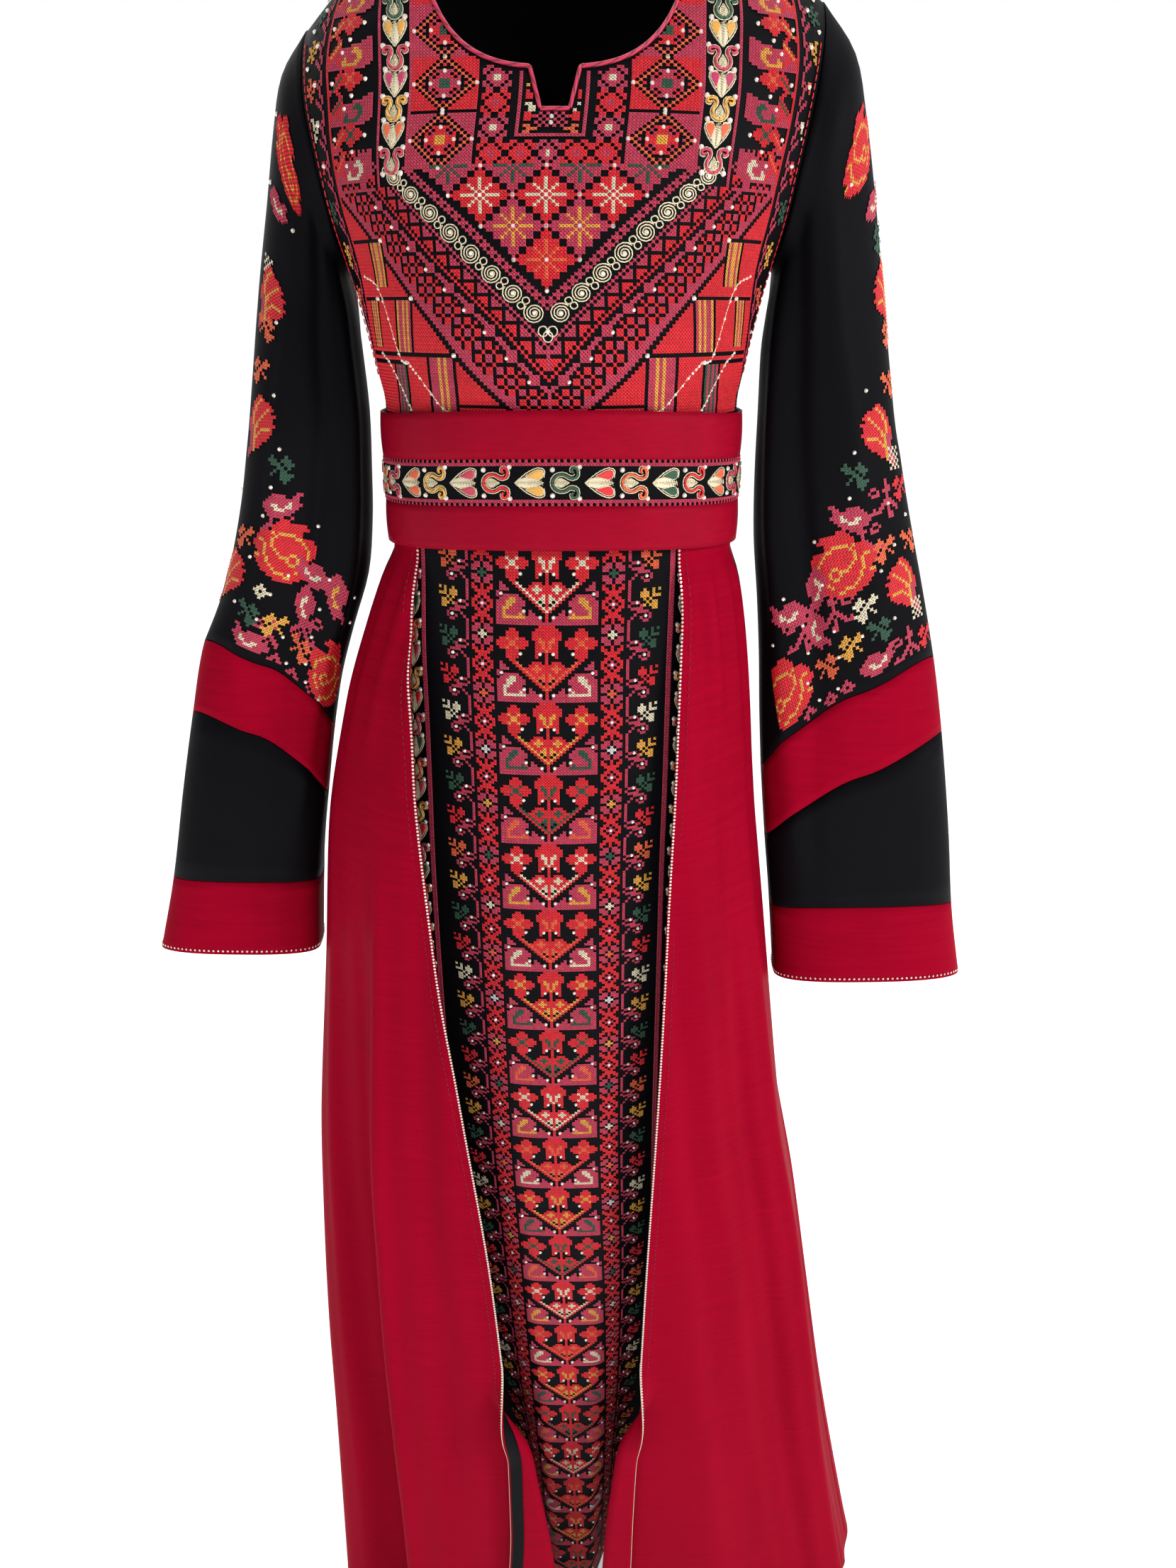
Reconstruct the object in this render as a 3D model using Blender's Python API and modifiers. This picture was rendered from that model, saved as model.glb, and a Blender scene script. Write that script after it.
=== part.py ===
"""Palestinian thobe dress, worn and hollow: black embroidered bodice and sleeves, black inner skirt,
crimson satin overskirt open in front, and a wide belt.

Metres, +Z up.  The front faces -Y, and the wearer's left is at +X.  The origin is the middle of the neck
opening, level with the shoulder seams' neck ends, where the wearer holds the dress up.
"""
import math

import bmesh
import bpy
from mathutils import Vector


def table(columns, rows):
    """A short table written by rows and read by its named columns."""
    return {name: [row[place] for row in rows] for place, name in enumerate(columns.split())}


# ---------------------------------------------------------------- driving sizes

CREPE = 0.0012            # wall of the black cloth
SATIN = 0.0013            # wall of the crimson cloth
BELT_WALL = 0.0020
SEAM_GAP = 0.0003         # between pieces that are sewn together
LAYER_GAP = 0.0012        # between layers that lie on each other at the waist
EDGE_TUCK = 0.0007        # a wall's edge leans this far over a seam on its inner side
ARMHOLE_CLEARANCE = 0.0009
SLEEVE_SEAM_GAP = 0.0008  # on the outer side of slanting seams, whose walls lean together inside

NECK_HALF_WIDTH = 0.0755
NECK_DROP_FRONT = 0.0975
NECK_DROP_BACK = 0.0220
NECK_SQUARENESS = 2.8
NOTCH_TURN = 5.3          # degrees round the neckline from its middle to the notch's upper corners
NOTCH_BOTTOM_HALF = 0.0080
NOTCH_BOTTOM_Z = -0.1190
BINDING_WIDTH = 0.0026
BINDING_WALL = 0.0012
BINDING_LIFT = 0.0016     # clears the flat facets of the cloth under it

NECK_FRONT_TURNS = [12, 22, 33, 45, 57, 68, 77, 83, 87, 89.2, 89.85, 90]
NECK_BACK_TURNS = [0, 17, 34, 52, 68, 80, 86.5, 89, 90]
SHOULDER_SHARES = [0.27, 0.53, 0.78, 1.0]   # columns from the neck to the shoulder's tip
BODICE_FRONT_ROWS = 16
BODICE_BACK_ROWS = 12
ROWS_TOWARDS_NECK = 1.5   # over 1 sets the rows closer together at the top
COLUMNS_TOWARDS_SIDE = 1.15

SHOULDER_TIP = {"left": (0.1600, -0.0470), "right": (0.1520, -0.0620)}   # the right one hangs lower
SHOULDER_ROUNDING = 0.0600
ARMPIT_Z = -0.1950
WAIST_SEAM_Z = -0.3200
FLARE_Z = -0.3720         # the skirts flare from here, just below the belt

UNDERSKIRT_HEM_Z = -1.4050
OVERSKIRT_HEM_Z = -1.4450
SIDE_SEAM = math.radians(96.0)  # angle of the overskirt side seams from the front
RING_POWER = 0.92         # 1 is an ellipse, less is squarer

BELT_TOP_Z = -0.2770
BELT_UPPER_HEIGHT = 0.0286
BELT_CENTRE_HEIGHT = 0.0284
BELT_LOWER_HEIGHT = 0.0278
BELT_SIDE_DROP = 0.0070   # the belt sits this much lower at the sides

SLEEVE_COLUMNS = 20
SLEEVE_ROWS = 6
BAND_ROWS = 2
BELT_COLUMNS = 36
UNDERSKIRT_COLUMNS = {"front": 32, "back": 14}
UNDERSKIRT_ROWS = 10
OVERSKIRT_FRONT_COLUMNS = 15
OVERSKIRT_FRONT_ROWS = 14
OVERSKIRT_BACK_COLUMNS = 40
OVERSKIRT_BACK_ROWS = 10
ROLL_STEPS = 5
LAP_STEPS = 2
ROWS_TOWARDS_WAIST = 1.25

# Sections of the torso.  Depths are from the body's middle plane, y = 0.
TORSO = table("z half_width front back", [
    (-0.3220, 0.1183, 0.0970, 0.0848),
    (-0.2770, 0.1190, 0.0985, 0.0860),
    (-0.2620, 0.1215, 0.1100, 0.0885),
    (-0.2350, 0.1265, 0.1230, 0.0910),
    (-0.1950, 0.1365, 0.1325, 0.0950),
    (-0.1600, 0.1520, 0.1300, 0.0980),
    (-0.1200, 0.1660, 0.1130, 0.0990),
    (-0.0800, 0.1730, 0.0930, 0.0950),
    (-0.0400, 0.1760, 0.0750, 0.0860),
    (0.0010, 0.1770, 0.0620, 0.0760),
])

# The shoulder seam, and how far from the middle the armhole seam lies at each height.
SHOULDER = table("x left_z right_z", [
    (0.0000, 0.0000, 0.0000),
    (0.0755, 0.0000, 0.0000),
    (0.1000, -0.0130, -0.0165),
    (0.1300, -0.0290, -0.0410),
    (0.1520, -0.0420, -0.0620),
    (0.1600, -0.0470, -0.0700),
])
ARMHOLE = table("z left_x right_x", [
    (-0.1950, 0.1360, 0.1360),
    (-0.1850, 0.1378, 0.1375),
    (-0.1500, 0.1430, 0.1420),
    (-0.1000, 0.1530, 0.1500),
    (-0.0620, 0.1590, 0.1520),
    (-0.0470, 0.1600, 0.1520),
])

# Sections of the inner skirt.
UNDERSKIRT = table("z centre_x half_width front back", [
    (-0.3203, 0.000, 0.1158, 0.0943, 0.0823),
    (-0.3620, 0.000, 0.1162, 0.0950, 0.0828),
    (-0.4500, -0.003, 0.1260, 0.1020, 0.0920),
    (-0.6000, -0.006, 0.1400, 0.1010, 0.1030),
    (-0.8000, -0.005, 0.1500, 0.0930, 0.1150),
    (-1.0000, 0.001, 0.1580, 0.0820, 0.1250),
    (-1.2000, 0.007, 0.1640, 0.0680, 0.1330),
    (-1.4050, 0.013, 0.1690, 0.0520, 0.1400),
])

# The embroidered front hangs as a ridge between two valleys, sharper towards the hem.
RIDGE = table("z centre_x half_width valley_depth", [
    (-0.3203, -0.004, 0.094, 0.000),
    (-0.3800, -0.004, 0.092, 0.001),
    (-0.5000, -0.005, 0.088, 0.007),
    (-0.7000, -0.004, 0.082, 0.012),
    (-0.9000, -0.002, 0.074, 0.018),
    (-1.1000, 0.000, 0.060, 0.030),
    (-1.2500, 0.002, 0.048, 0.043),
    (-1.4050, 0.003, 0.040, 0.056),
])

# Across the ridge, in half widths: its rounded top ends, the valley starts, the cloth rises, all plain.
RIDGE_TOP, RIDGE_VALLEY, RIDGE_SIDE, RIDGE_FOOT = 0.35, 1.10, 1.35, 2.65

# Sections of the overskirt.
OVERSKIRT = table("z centre_x half_width front back", [
    (-0.3203, 0.000, 0.1183, 0.0968, 0.0848),
    (-0.3720, 0.000, 0.1186, 0.0972, 0.0852),
    (-0.3880, -0.001, 0.1235, 0.1020, 0.0895),
    (-0.4190, -0.004, 0.1330, 0.1080, 0.0970),
    (-0.4850, -0.011, 0.1490, 0.1150, 0.1080),
    (-0.5850, -0.017, 0.1650, 0.1180, 0.1220),
    (-0.7000, -0.015, 0.1780, 0.1150, 0.1350),
    (-0.8350, -0.012, 0.1940, 0.1110, 0.1470),
    (-0.9480, -0.004, 0.2080, 0.1080, 0.1560),
    (-1.0850, 0.005, 0.2210, 0.1030, 0.1650),
    (-1.2150, 0.015, 0.2320, 0.0990, 0.1720),
    (-1.4150, 0.033, 0.2540, 0.0920, 0.1820),
    (-1.4450, 0.036, 0.2580, 0.0910, 0.1840),
])

# Where the overskirt's two front edges lie, and how wide a lap rolls forward there.
FRONT_EDGES = table("z right_edge_x right_lap left_edge_x left_lap", [
    (-0.3203, -0.0945, 0.004, 0.0765, 0.004),
    (-0.3700, -0.0945, 0.004, 0.0770, 0.004),
    (-0.4180, -0.1010, 0.004, 0.0790, 0.004),
    (-0.5060, -0.1010, 0.004, 0.0785, 0.004),
    (-0.6430, -0.0930, 0.004, 0.0750, 0.004),
    (-0.7820, -0.0790, 0.004, 0.0710, 0.004),
    (-0.9580, -0.0610, 0.004, 0.0650, 0.004),
    (-1.0720, -0.0540, 0.006, 0.0620, 0.006),
    (-1.1700, -0.0500, 0.016, 0.0580, 0.012),
    (-1.2500, -0.0500, 0.026, 0.0560, 0.017),
    (-1.3400, -0.0540, 0.038, 0.0550, 0.020),
    (-1.4450, -0.0580, 0.046, 0.0560, 0.022),
])
ROLL_START_Z = -1.0500
ROLL_FULL_Z = -1.1700
ROLL_TURN = 0.0120        # cloth taken up by the half turn of the roll

# Folds of the overskirt: the angle of each from the front, towards the wearer's left, at its top and at
# the hem, its half width in degrees, its height at the hem (in is negative) and where it starts.
FOLDS = table("angle_top angle_hem half_width height start_z", [
    (-36, -36, 15, 0.010, -0.50),
    (-60, -57, 11, -0.026, -0.52),
    (-84, -82, 15, 0.012, -0.60),
    (-112, -112, 12, -0.016, -0.55),
    (-132, -132, 11, 0.014, -0.55),
    (-153, -153, 11, -0.014, -0.50),
    (-173, -172, 12, 0.015, -0.50),
    (168, 167, 11, -0.014, -0.50),
    (148, 147, 11, 0.015, -0.55),
    (127, 127, 11, -0.016, -0.55),
    (106, 105, 12, 0.012, -0.60),
    (84, 82, 11, -0.010, -0.65),
    (64, 62, 13, 0.010, -0.55),
    (44, 44, 10, -0.008, -0.50),
    (27, 26, 10, 0.005, -0.55),
])
GATHER_DEPTH = 0.0022     # small gathers just under the belt
GATHER_PERIOD = 13.0      # degrees from one gather to the next
GATHER_PEAK_Z = -0.4000
GATHER_END_Z = -0.5600

# Sleeves.  The cap's sections run from the shoulder point (top) to the underarm; then come level sections.
SLEEVE_CAP = {
    "left": table("top_x top_z under_x under_z front back", [
        (0.1810, -0.0740, 0.1400, -0.2010, 0.0560, 0.0620),
        (0.1910, -0.1080, 0.1385, -0.2110, 0.0520, 0.0600),
        (0.2005, -0.1520, 0.1365, -0.2260, 0.0490, 0.0580),
        (0.2110, -0.2080, 0.1345, -0.2480, 0.0470, 0.0560),
    ]),
    "right": table("top_x top_z under_x under_z front back", [
        (0.1690, -0.0850, 0.1400, -0.2020, 0.0540, 0.0600),
        (0.1775, -0.1150, 0.1385, -0.2110, 0.0500, 0.0590),
        (0.1860, -0.1560, 0.1360, -0.2260, 0.0470, 0.0580),
        (0.1970, -0.2080, 0.1340, -0.2480, 0.0450, 0.0560),
    ]),
}
SLEEVE = {
    "left": table("z outer_x inner_x front back", [
        (-0.2850, 0.2255, 0.1345, 0.0450, 0.0560),
        (-0.3450, 0.2410, 0.1345, 0.0440, 0.0570),
        (-0.4050, 0.2580, 0.1400, 0.0430, 0.0580),
        (-0.4610, 0.2730, 0.1450, 0.0410, 0.0600),
        (-0.5220, 0.2860, 0.1490, 0.0400, 0.0620),
        (-0.6010, 0.3000, 0.1570, 0.0390, 0.0630),
        (-0.6610, 0.3090, 0.1645, 0.0380, 0.0630),
        (-0.7240, 0.3220, 0.1710, 0.0380, 0.0640),
    ]),
    "right": table("z outer_x inner_x front back", [
        (-0.2850, 0.2110, 0.1320, 0.0440, 0.0560),
        (-0.3450, 0.2240, 0.1340, 0.0420, 0.0580),
        (-0.4050, 0.2430, 0.1420, 0.0390, 0.0600),
        (-0.4490, 0.2640, 0.1590, 0.0370, 0.0620),
        (-0.5000, 0.2780, 0.1720, 0.0350, 0.0640),
        (-0.5600, 0.2930, 0.1830, 0.0330, 0.0650),
        (-0.6360, 0.3105, 0.1950, 0.0320, 0.0660),
        (-0.7010, 0.3290, 0.2010, 0.0320, 0.0660),
    ]),
}
# Seams round each sleeve: height at its outer side and at its inner side, and the lift in front.
SLEEVE_SEAMS = {
    "left": {
        "band_top": (-0.4610, -0.5450, 0.0270),
        "band_bottom": (-0.5170, -0.6030, 0.0200),
        "cuff_top": (-0.6600, -0.6640, 0.0130),
        "hem": (-0.7240, -0.7280, 0.0100),
    },
    "right": {
        "band_top": (-0.4490, -0.5110, 0.0240),
        "band_bottom": (-0.5050, -0.5670, 0.0270),
        "cuff_top": (-0.6370, -0.6400, 0.0080),
        "hem": (-0.7010, -0.7040, 0.0080),
    },
}
SLEEVE_POWER = 0.80       # the sleeve's sections are squarer than an ellipse

# ---------------------------------------------------------------- curves through the tables


def smooth_value(places, values, place):
    """Value at a place on a smooth curve through the rows, which never overshoots them."""
    if places[0] > places[-1]:
        places, values = places[::-1], values[::-1]
    place = min(max(place, places[0]), places[-1])
    last = len(places) - 2
    row = next((k for k in range(last + 1) if place <= places[k + 1]), last)
    slopes = [(values[k + 1] - values[k]) / (places[k + 1] - places[k]) for k in range(last + 1)]

    def tangent(k):
        if k == 0 or k == last + 1:
            return slopes[0] if k == 0 else slopes[last]
        before, after = slopes[k - 1], slopes[k]
        return 0.0 if before * after <= 0.0 else 2.0 * before * after / (before + after)

    step = places[row + 1] - places[row]
    t = (place - places[row]) / step
    rise = values[row + 1] - values[row]
    start, end = tangent(row) * step, tangent(row + 1) * step
    return (values[row] + start * t + (3.0 * rise - 2.0 * start - end) * t * t
            + (start + end - 2.0 * rise) * t ** 3)


def read(rows, column, place, key="z"):
    return smooth_value(rows[key], rows[column], place)


def smoothstep(value):
    t = min(max(value, 0.0), 1.0)
    return t * t * (3.0 - 2.0 * t)


def signed_power(value, power):
    return math.copysign(abs(value) ** power, value)


def ring_point(angle, half_width, front, back, centre_x=0.0):
    """A point of a level section; the angle is 0 in front and grows towards +X."""
    depth = front if math.cos(angle) > 0.0 else back
    return Vector((centre_x + half_width * signed_power(math.sin(angle), RING_POWER),
                   -depth * signed_power(math.cos(angle), RING_POWER), 0.0))


# ---------------------------------------------------------------- the cloth's surfaces


def side_name(x):
    return "left" if x >= 0.0 else "right"


def shoulder_z(x):
    return smooth_value(SHOULDER["x"], SHOULDER[side_name(x) + "_z"], abs(x))


def torso_point(angle, z):
    """Outer surface of the bodice, closed in to y = 0 along the shoulder seams."""
    point = ring_point(angle, read(TORSO, "half_width", z), read(TORSO, "front", z), read(TORSO, "back", z))
    below = min(max((shoulder_z(point.x) - z) / SHOULDER_ROUNDING, 0.0), 1.0)
    point.y *= math.sqrt(1.0 - (1.0 - below) ** 2)
    point.z = z
    return point


def torso_angle(x, z):
    """The angle from the front at which the torso's section at z has this x."""
    share = min(abs(x) / read(TORSO, "half_width", z), 1.0)
    return math.asin(share ** (1.0 / RING_POWER))


def armhole_x(side, z):
    return read(ARMHOLE, side + "_x", z) if z > ARMPIT_Z else read(TORSO, "half_width", z)


def skirt_ridge(x, z):
    """How far the inner skirt falls back beside the embroidered ridge."""
    half_width = read(RIDGE, "half_width", z)
    away = abs(x - read(RIDGE, "centre_x", z)) / half_width
    depth = read(RIDGE, "valley_depth", z)
    fall = smoothstep((away - RIDGE_TOP) / (RIDGE_VALLEY - RIDGE_TOP))
    rise = smoothstep((away - RIDGE_SIDE) / (RIDGE_FOOT - RIDGE_SIDE))
    return depth * fall * (1.0 - rise)


def underskirt_point(angle, z):
    point = ring_point(angle, *(read(UNDERSKIRT, name, z) for name in ("half_width", "front", "back",
                                                                       "centre_x")))
    point.y += skirt_ridge(point.x, z) * smoothstep(2.0 * math.cos(angle))
    point.z = z
    return point


def angle_between(angle, centre):
    """Difference of two angles in degrees, from -180 to 180."""
    return (angle - centre + 180.0) % 360.0 - 180.0


def fold_height(angle, z):
    """How far the overskirt stands out of its plain section."""
    degrees = math.degrees(angle)
    height = 0.0
    for row in range(len(FOLDS["height"])):
        start = FOLDS["start_z"][row]
        grown = smoothstep((start - z) / (start - OVERSKIRT_HEM_Z)) ** 0.75
        centre = FOLDS["angle_top"][row] + (FOLDS["angle_hem"][row] - FOLDS["angle_top"][row]) * grown
        away = angle_between(degrees, centre) / FOLDS["half_width"][row]
        height += FOLDS["height"][row] * grown * math.exp(-away * away)
    if z < WAIST_SEAM_Z and z > GATHER_END_Z:
        rise = smoothstep((FLARE_Z - z) / (FLARE_Z - GATHER_PEAK_Z))
        fall = 1.0 - smoothstep((GATHER_PEAK_Z - z) / (GATHER_PEAK_Z - GATHER_END_Z))
        height += GATHER_DEPTH * rise * fall * math.cos(2.0 * math.pi * degrees / GATHER_PERIOD)
    return height


def overskirt_plain(angle, z):
    point = ring_point(angle, *(read(OVERSKIRT, name, z) for name in ("half_width", "front", "back",
                                                                      "centre_x")))
    point.z = z
    return point


def overskirt_point(angle, z):
    point = overskirt_plain(angle, z)
    step = math.radians(1.0)
    along = overskirt_plain(angle + step, z) - overskirt_plain(angle - step, z)
    outward = Vector((along.y, -along.x, 0.0)).normalized()
    return point + outward * fold_height(angle, z)


def overskirt_angle(x, z):
    """The angle from the front at which the overskirt's plain section has this x."""
    share = (x - read(OVERSKIRT, "centre_x", z)) / read(OVERSKIRT, "half_width", z)
    return math.asin(signed_power(min(max(share, -1.0), 1.0), 1.0 / RING_POWER))


def rolled_edge(side, z):
    """Points from where the overskirt's front starts to turn, out to its free edge, at one height."""
    sign = 1.0 if side == "left" else -1.0
    edge_x = read(FRONT_EDGES, side + "_edge_x", z)
    lap = read(FRONT_EDGES, side + "_lap", z)
    turned = math.pi * smoothstep((ROLL_START_Z - z) / (ROLL_START_Z - ROLL_FULL_Z))
    reach, rise, heading = 0.0, 0.0, 0.0
    offsets = [(0.0, 0.0)]
    for step, count, turn in ((ROLL_TURN / ROLL_STEPS, ROLL_STEPS, turned / ROLL_STEPS),
                              (lap / LAP_STEPS, LAP_STEPS, 0.0)):
        for _ in range(count):
            middle = heading + 0.5 * turn
            reach += step * math.cos(middle)
            rise += step * math.sin(middle)
            heading += turn
            offsets.append((reach, rise))
    start_x = edge_x + sign * offsets[-1][0]
    points = []
    for along, out in offsets:
        angle = overskirt_angle(start_x - sign * along, z)
        point = overskirt_point(angle, z)
        outward = Vector((point.x, 2.0 * point.y, 0.0)).normalized()
        points.append(point + outward * out)
    return overskirt_angle(start_x, z), points


def belt_point(angle, z, proud):
    """A point round the waist at a nominal height; the belt sits lower at the sides."""
    half_width = read(TORSO, "half_width", BELT_TOP_Z) + LAYER_GAP + BELT_WALL + proud
    front = read(TORSO, "front", BELT_TOP_Z) + LAYER_GAP + BELT_WALL + proud
    back = read(TORSO, "back", BELT_TOP_Z) + LAYER_GAP + BELT_WALL + proud
    point = ring_point(angle, half_width, front, back)
    point.z = z - BELT_SIDE_DROP * math.sin(angle) ** 2
    return point


def sleeve_point(side, turn, z):
    """A level section of the sleeve; turn is 0 at the outer side and grows towards the front."""
    outer_x, inner_x, front, back = (read(SLEEVE[side], name, z)
                                     for name in ("outer_x", "inner_x", "front", "back"))
    depth = front if math.sin(turn) > 0.0 else back
    x = 0.5 * (outer_x + inner_x) + 0.5 * (outer_x - inner_x) * signed_power(math.cos(turn), SLEEVE_POWER)
    return Vector((x if side == "left" else -x, -depth * signed_power(math.sin(turn), SLEEVE_POWER), z))


def armhole_point(side, turn):
    """The armhole seam, from the shoulder point (turn 0) down the front to the underarm and up the back."""
    sign = 1.0 if side == "left" else -1.0
    tip_z = SHOULDER_TIP[side][1]
    z = 0.5 * (tip_z + ARMPIT_Z) + 0.5 * (tip_z - ARMPIT_Z) * math.cos(turn)
    angle = torso_angle(armhole_x(side, z), z)
    if math.sin(turn) < 0.0:
        angle = math.pi - angle
    point = torso_point(sign * angle, z)
    point.x += sign * (SEAM_GAP + ARMHOLE_CLEARANCE)
    return point


def cap_point(side, turn, row):
    cap = SLEEVE_CAP[side]
    top = Vector((cap["top_x"][row], 0.0, cap["top_z"][row]))
    under = Vector((cap["under_x"][row], 0.0, cap["under_z"][row]))
    depth = cap["front" if math.sin(turn) > 0.0 else "back"][row]
    point = 0.5 * (top + under) + 0.5 * (top - under) * math.cos(turn)
    power = RING_POWER + (SLEEVE_POWER - RING_POWER) * row / (len(cap["top_x"]) - 1)
    point.y = -depth * signed_power(math.sin(turn), power)
    if side == "right":
        point.x = -point.x
    return point


def seam_z(side, seam, turn):
    """Height of a seam round the sleeve; in front it runs higher than straight across."""
    outer_z, inner_z, lift = SLEEVE_SEAMS[side][seam]
    return outer_z + (inner_z - outer_z) * 0.5 * (1.0 - math.cos(turn)) + lift * max(math.sin(turn), 0.0)


# ---------------------------------------------------------------- solids


def material(name, colour, roughness):
    made = bpy.data.materials.new(name)
    made.use_nodes = True
    shader = made.node_tree.nodes["Principled BSDF"]
    shader.inputs["Base Color"].default_value = (*colour, 1.0)
    shader.inputs["Roughness"].default_value = roughness
    shader.inputs["Metallic"].default_value = 0.0
    made.diffuse_color = (*colour, 1.0)
    return made


def wall(name, rows, thickness, cloth, closed=False, inside=None):
    """A cloth wall under a grid of outer points, thickened towards the inside."""
    mesh = bpy.data.meshes.new(name)
    shape = bmesh.new()
    grid = [[shape.verts.new(point) for point in row] for row in rows]
    columns = len(grid[0])
    for lower, upper in zip(grid, grid[1:]):
        for k in range(columns if closed else columns - 1):
            after = (k + 1) % columns
            shape.faces.new((lower[k], lower[after], upper[after]))
            shape.faces.new((lower[k], upper[after], upper[k]))
    shape.normal_update()
    if inside is None:
        inside = sum((vertex.co for vertex in shape.verts), Vector()) / len(shape.verts)
    outward = sum(face.normal.dot(face.calc_center_median() - inside) for face in shape.faces)
    if outward < 0.0:
        bmesh.ops.reverse_faces(shape, faces=shape.faces[:])
    shape.to_mesh(mesh)
    shape.free()
    piece = bpy.data.objects.new(name, mesh)
    thicken = piece.modifiers.new("wall", "SOLIDIFY")
    thicken.thickness = thickness
    thicken.offset = -1.0
    thicken.use_even_offset = False
    mesh.shade_smooth()
    piece.data.materials.append(cloth)
    bpy.data.collections["thobe_dress"].objects.link(piece)
    return piece


def neckline(turns, drop):
    """Points along one half of a neckline, for turns from the middle (0) to the shoulder seam (90)."""
    power = 2.0 / NECK_SQUARENESS
    points = []
    for turn in turns:
        across, down = math.sin(math.radians(turn)), max(math.cos(math.radians(turn)), 0.0)
        points.append((NECK_HALF_WIDTH * across ** power, -drop * down ** power if turn < 90.0 else 0.0))
    return points


def front_neck():
    """The front half outline: half the notch's floor, its side, and the neckline up to the shoulder."""
    notch = [(0.0, NOTCH_BOTTOM_Z), (NOTCH_BOTTOM_HALF, NOTCH_BOTTOM_Z)]
    return notch + neckline([NOTCH_TURN] + NECK_FRONT_TURNS, NECK_DROP_FRONT)


def back_neck():
    return neckline(NECK_BACK_TURNS, NECK_DROP_BACK)


def bodice_top(back):
    """The upper ends of the bodice's columns, from the right shoulder's tip to the left one's."""
    neck = back_neck() if back else front_neck()
    halves = {}
    for side, sign in (("left", 1.0), ("right", -1.0)):
        width = SHOULDER_TIP[side][0] - NECK_HALF_WIDTH
        shoulder = [sign * (NECK_HALF_WIDTH + width * share) for share in SHOULDER_SHARES]
        halves[side] = [(sign * x, z) for x, z in neck] + [(x, shoulder_z(x)) for x in shoulder]
    return halves["right"][:0:-1] + halves["left"]


def bodice_panel(name, back, cloth):
    """Columns run from the waist, straight under the belt, then up to the neckline and the shoulder seam."""
    tops = bodice_top(back)
    row_count = BODICE_BACK_ROWS if back else BODICE_FRONT_ROWS
    rows = []
    for j in range(row_count + 1):
        above_belt = max(j - 1, 0) / (row_count - 1)
        up = 1.0 - (1.0 - above_belt) ** ROWS_TOWARDS_NECK
        row = []
        for place, (x, top_z) in enumerate(tops):
            across = 2.0 * place / (len(tops) - 1) - 1.0
            tip_x, tip_z = SHOULDER_TIP[side_name(x)]
            side_z = BELT_TOP_Z + (tip_z - BELT_TOP_Z) * up
            seam = torso_angle(armhole_x(side_name(x), side_z), side_z)
            plain = 0.5 * math.pi + (torso_angle(tip_x, tip_z) - 0.5 * math.pi) * up
            z = WAIST_SEAM_Z if j == 0 else BELT_TOP_Z + (top_z - BELT_TOP_Z) * up
            waist_angle = 0.5 * math.pi * abs(across) ** COLUMNS_TOWARDS_SIDE
            angle = waist_angle + (torso_angle(x, top_z) - waist_angle) * up
            angle += (seam - plain) * abs(across) ** 3
            angle = math.copysign(min(angle, 0.5 * math.pi), across)
            point = torso_point(math.pi - angle if back else angle, z)
            at_shoulder = abs(x) > 0.98 * NECK_HALF_WIDTH
            near_seam = max(abs(across), up if at_shoulder else 0.0) ** 8
            point.y += (1.0 if back else -1.0) * (SEAM_GAP + EDGE_TUCK) * near_seam
            row.append(point)
        rows.append(row)
    return wall(name, rows, CREPE, cloth, inside=Vector((0.0, 0.0, -0.2)))


def neck_outline():
    """The neck opening's edge, down the front with its notch and round the back: x, z, behind or not."""
    front = [(x, z, False) for x, z in front_neck()]
    back = [(x, z, True) for x, z in reversed(back_neck())]
    one_side = front + back[1:]
    other_side = [(-x, z, behind) for x, z, behind in reversed(one_side[1:-1])]
    return one_side + other_side


def torso_normal(angle, z):
    """Outward direction of the bodice's surface, measured over a short step each way."""
    step, drop = 0.02, 0.0015
    z = min(z, shoulder_z(torso_point(angle, z).x) - 2.0 * drop)
    across = torso_point(angle + step, z) - torso_point(angle - step, z)
    up = torso_point(angle, z + drop) - torso_point(angle, z - drop)
    return across.cross(up).normalized()


def neck_binding(cloth):
    """The piping: a narrow band along the neck's edge, just outside the bodice's wall."""
    outline = neck_outline()
    count = len(outline)
    angles = []
    for x, z, behind in outline:
        angle = torso_angle(x, z)
        angles.append(math.copysign(math.pi - angle if behind else angle, x if x else 1.0))
    surface = [torso_point(angle, z) for angle, (x, z, behind) in zip(angles, outline)]
    inside_opening = Vector((0.0, -0.02, 0.05))
    rows = [[], []]
    for k, point in enumerate(surface):
        along = (surface[(k + 1) % count] - surface[k - 1]).normalized()
        normal = torso_normal(angles[k], outline[k][1])
        if abs(point.y) < 0.012:
            normal = Vector((0.35 * math.copysign(1.0, point.x), 0.0, 1.0)).normalized()
        away = along.cross(normal).normalized()
        if away.dot(point - inside_opening) < 0.0:
            away.negate()
        lifted = point + normal * (BINDING_WALL + BINDING_LIFT)
        rows[0].append(lifted)
        rows[1].append(lifted + away * BINDING_WIDTH)
    return wall("neck_binding", rows, BINDING_WALL, cloth, closed=True, inside=Vector((0.0, 0.0, -0.06)))


def sleeve_tube(name, side, upper, lower, cloth, thickness):
    """A stretch of the lower sleeve from one seam down to another, half a seam's gap from each."""
    rows = []
    for j in range(BAND_ROWS + 1):
        down = j / BAND_ROWS
        row = []
        for k in range(SLEEVE_COLUMNS):
            turn = 2.0 * math.pi * k / SLEEVE_COLUMNS
            top = seam_z(side, upper, turn) - 0.5 * SLEEVE_SEAM_GAP
            bottom = seam_z(side, lower, turn) + 0.5 * SLEEVE_SEAM_GAP
            row.append(sleeve_point(side, turn, top + (bottom - top) * down))
        rows.append(row)
    return wall(name, rows, thickness, cloth, closed=True)


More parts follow.
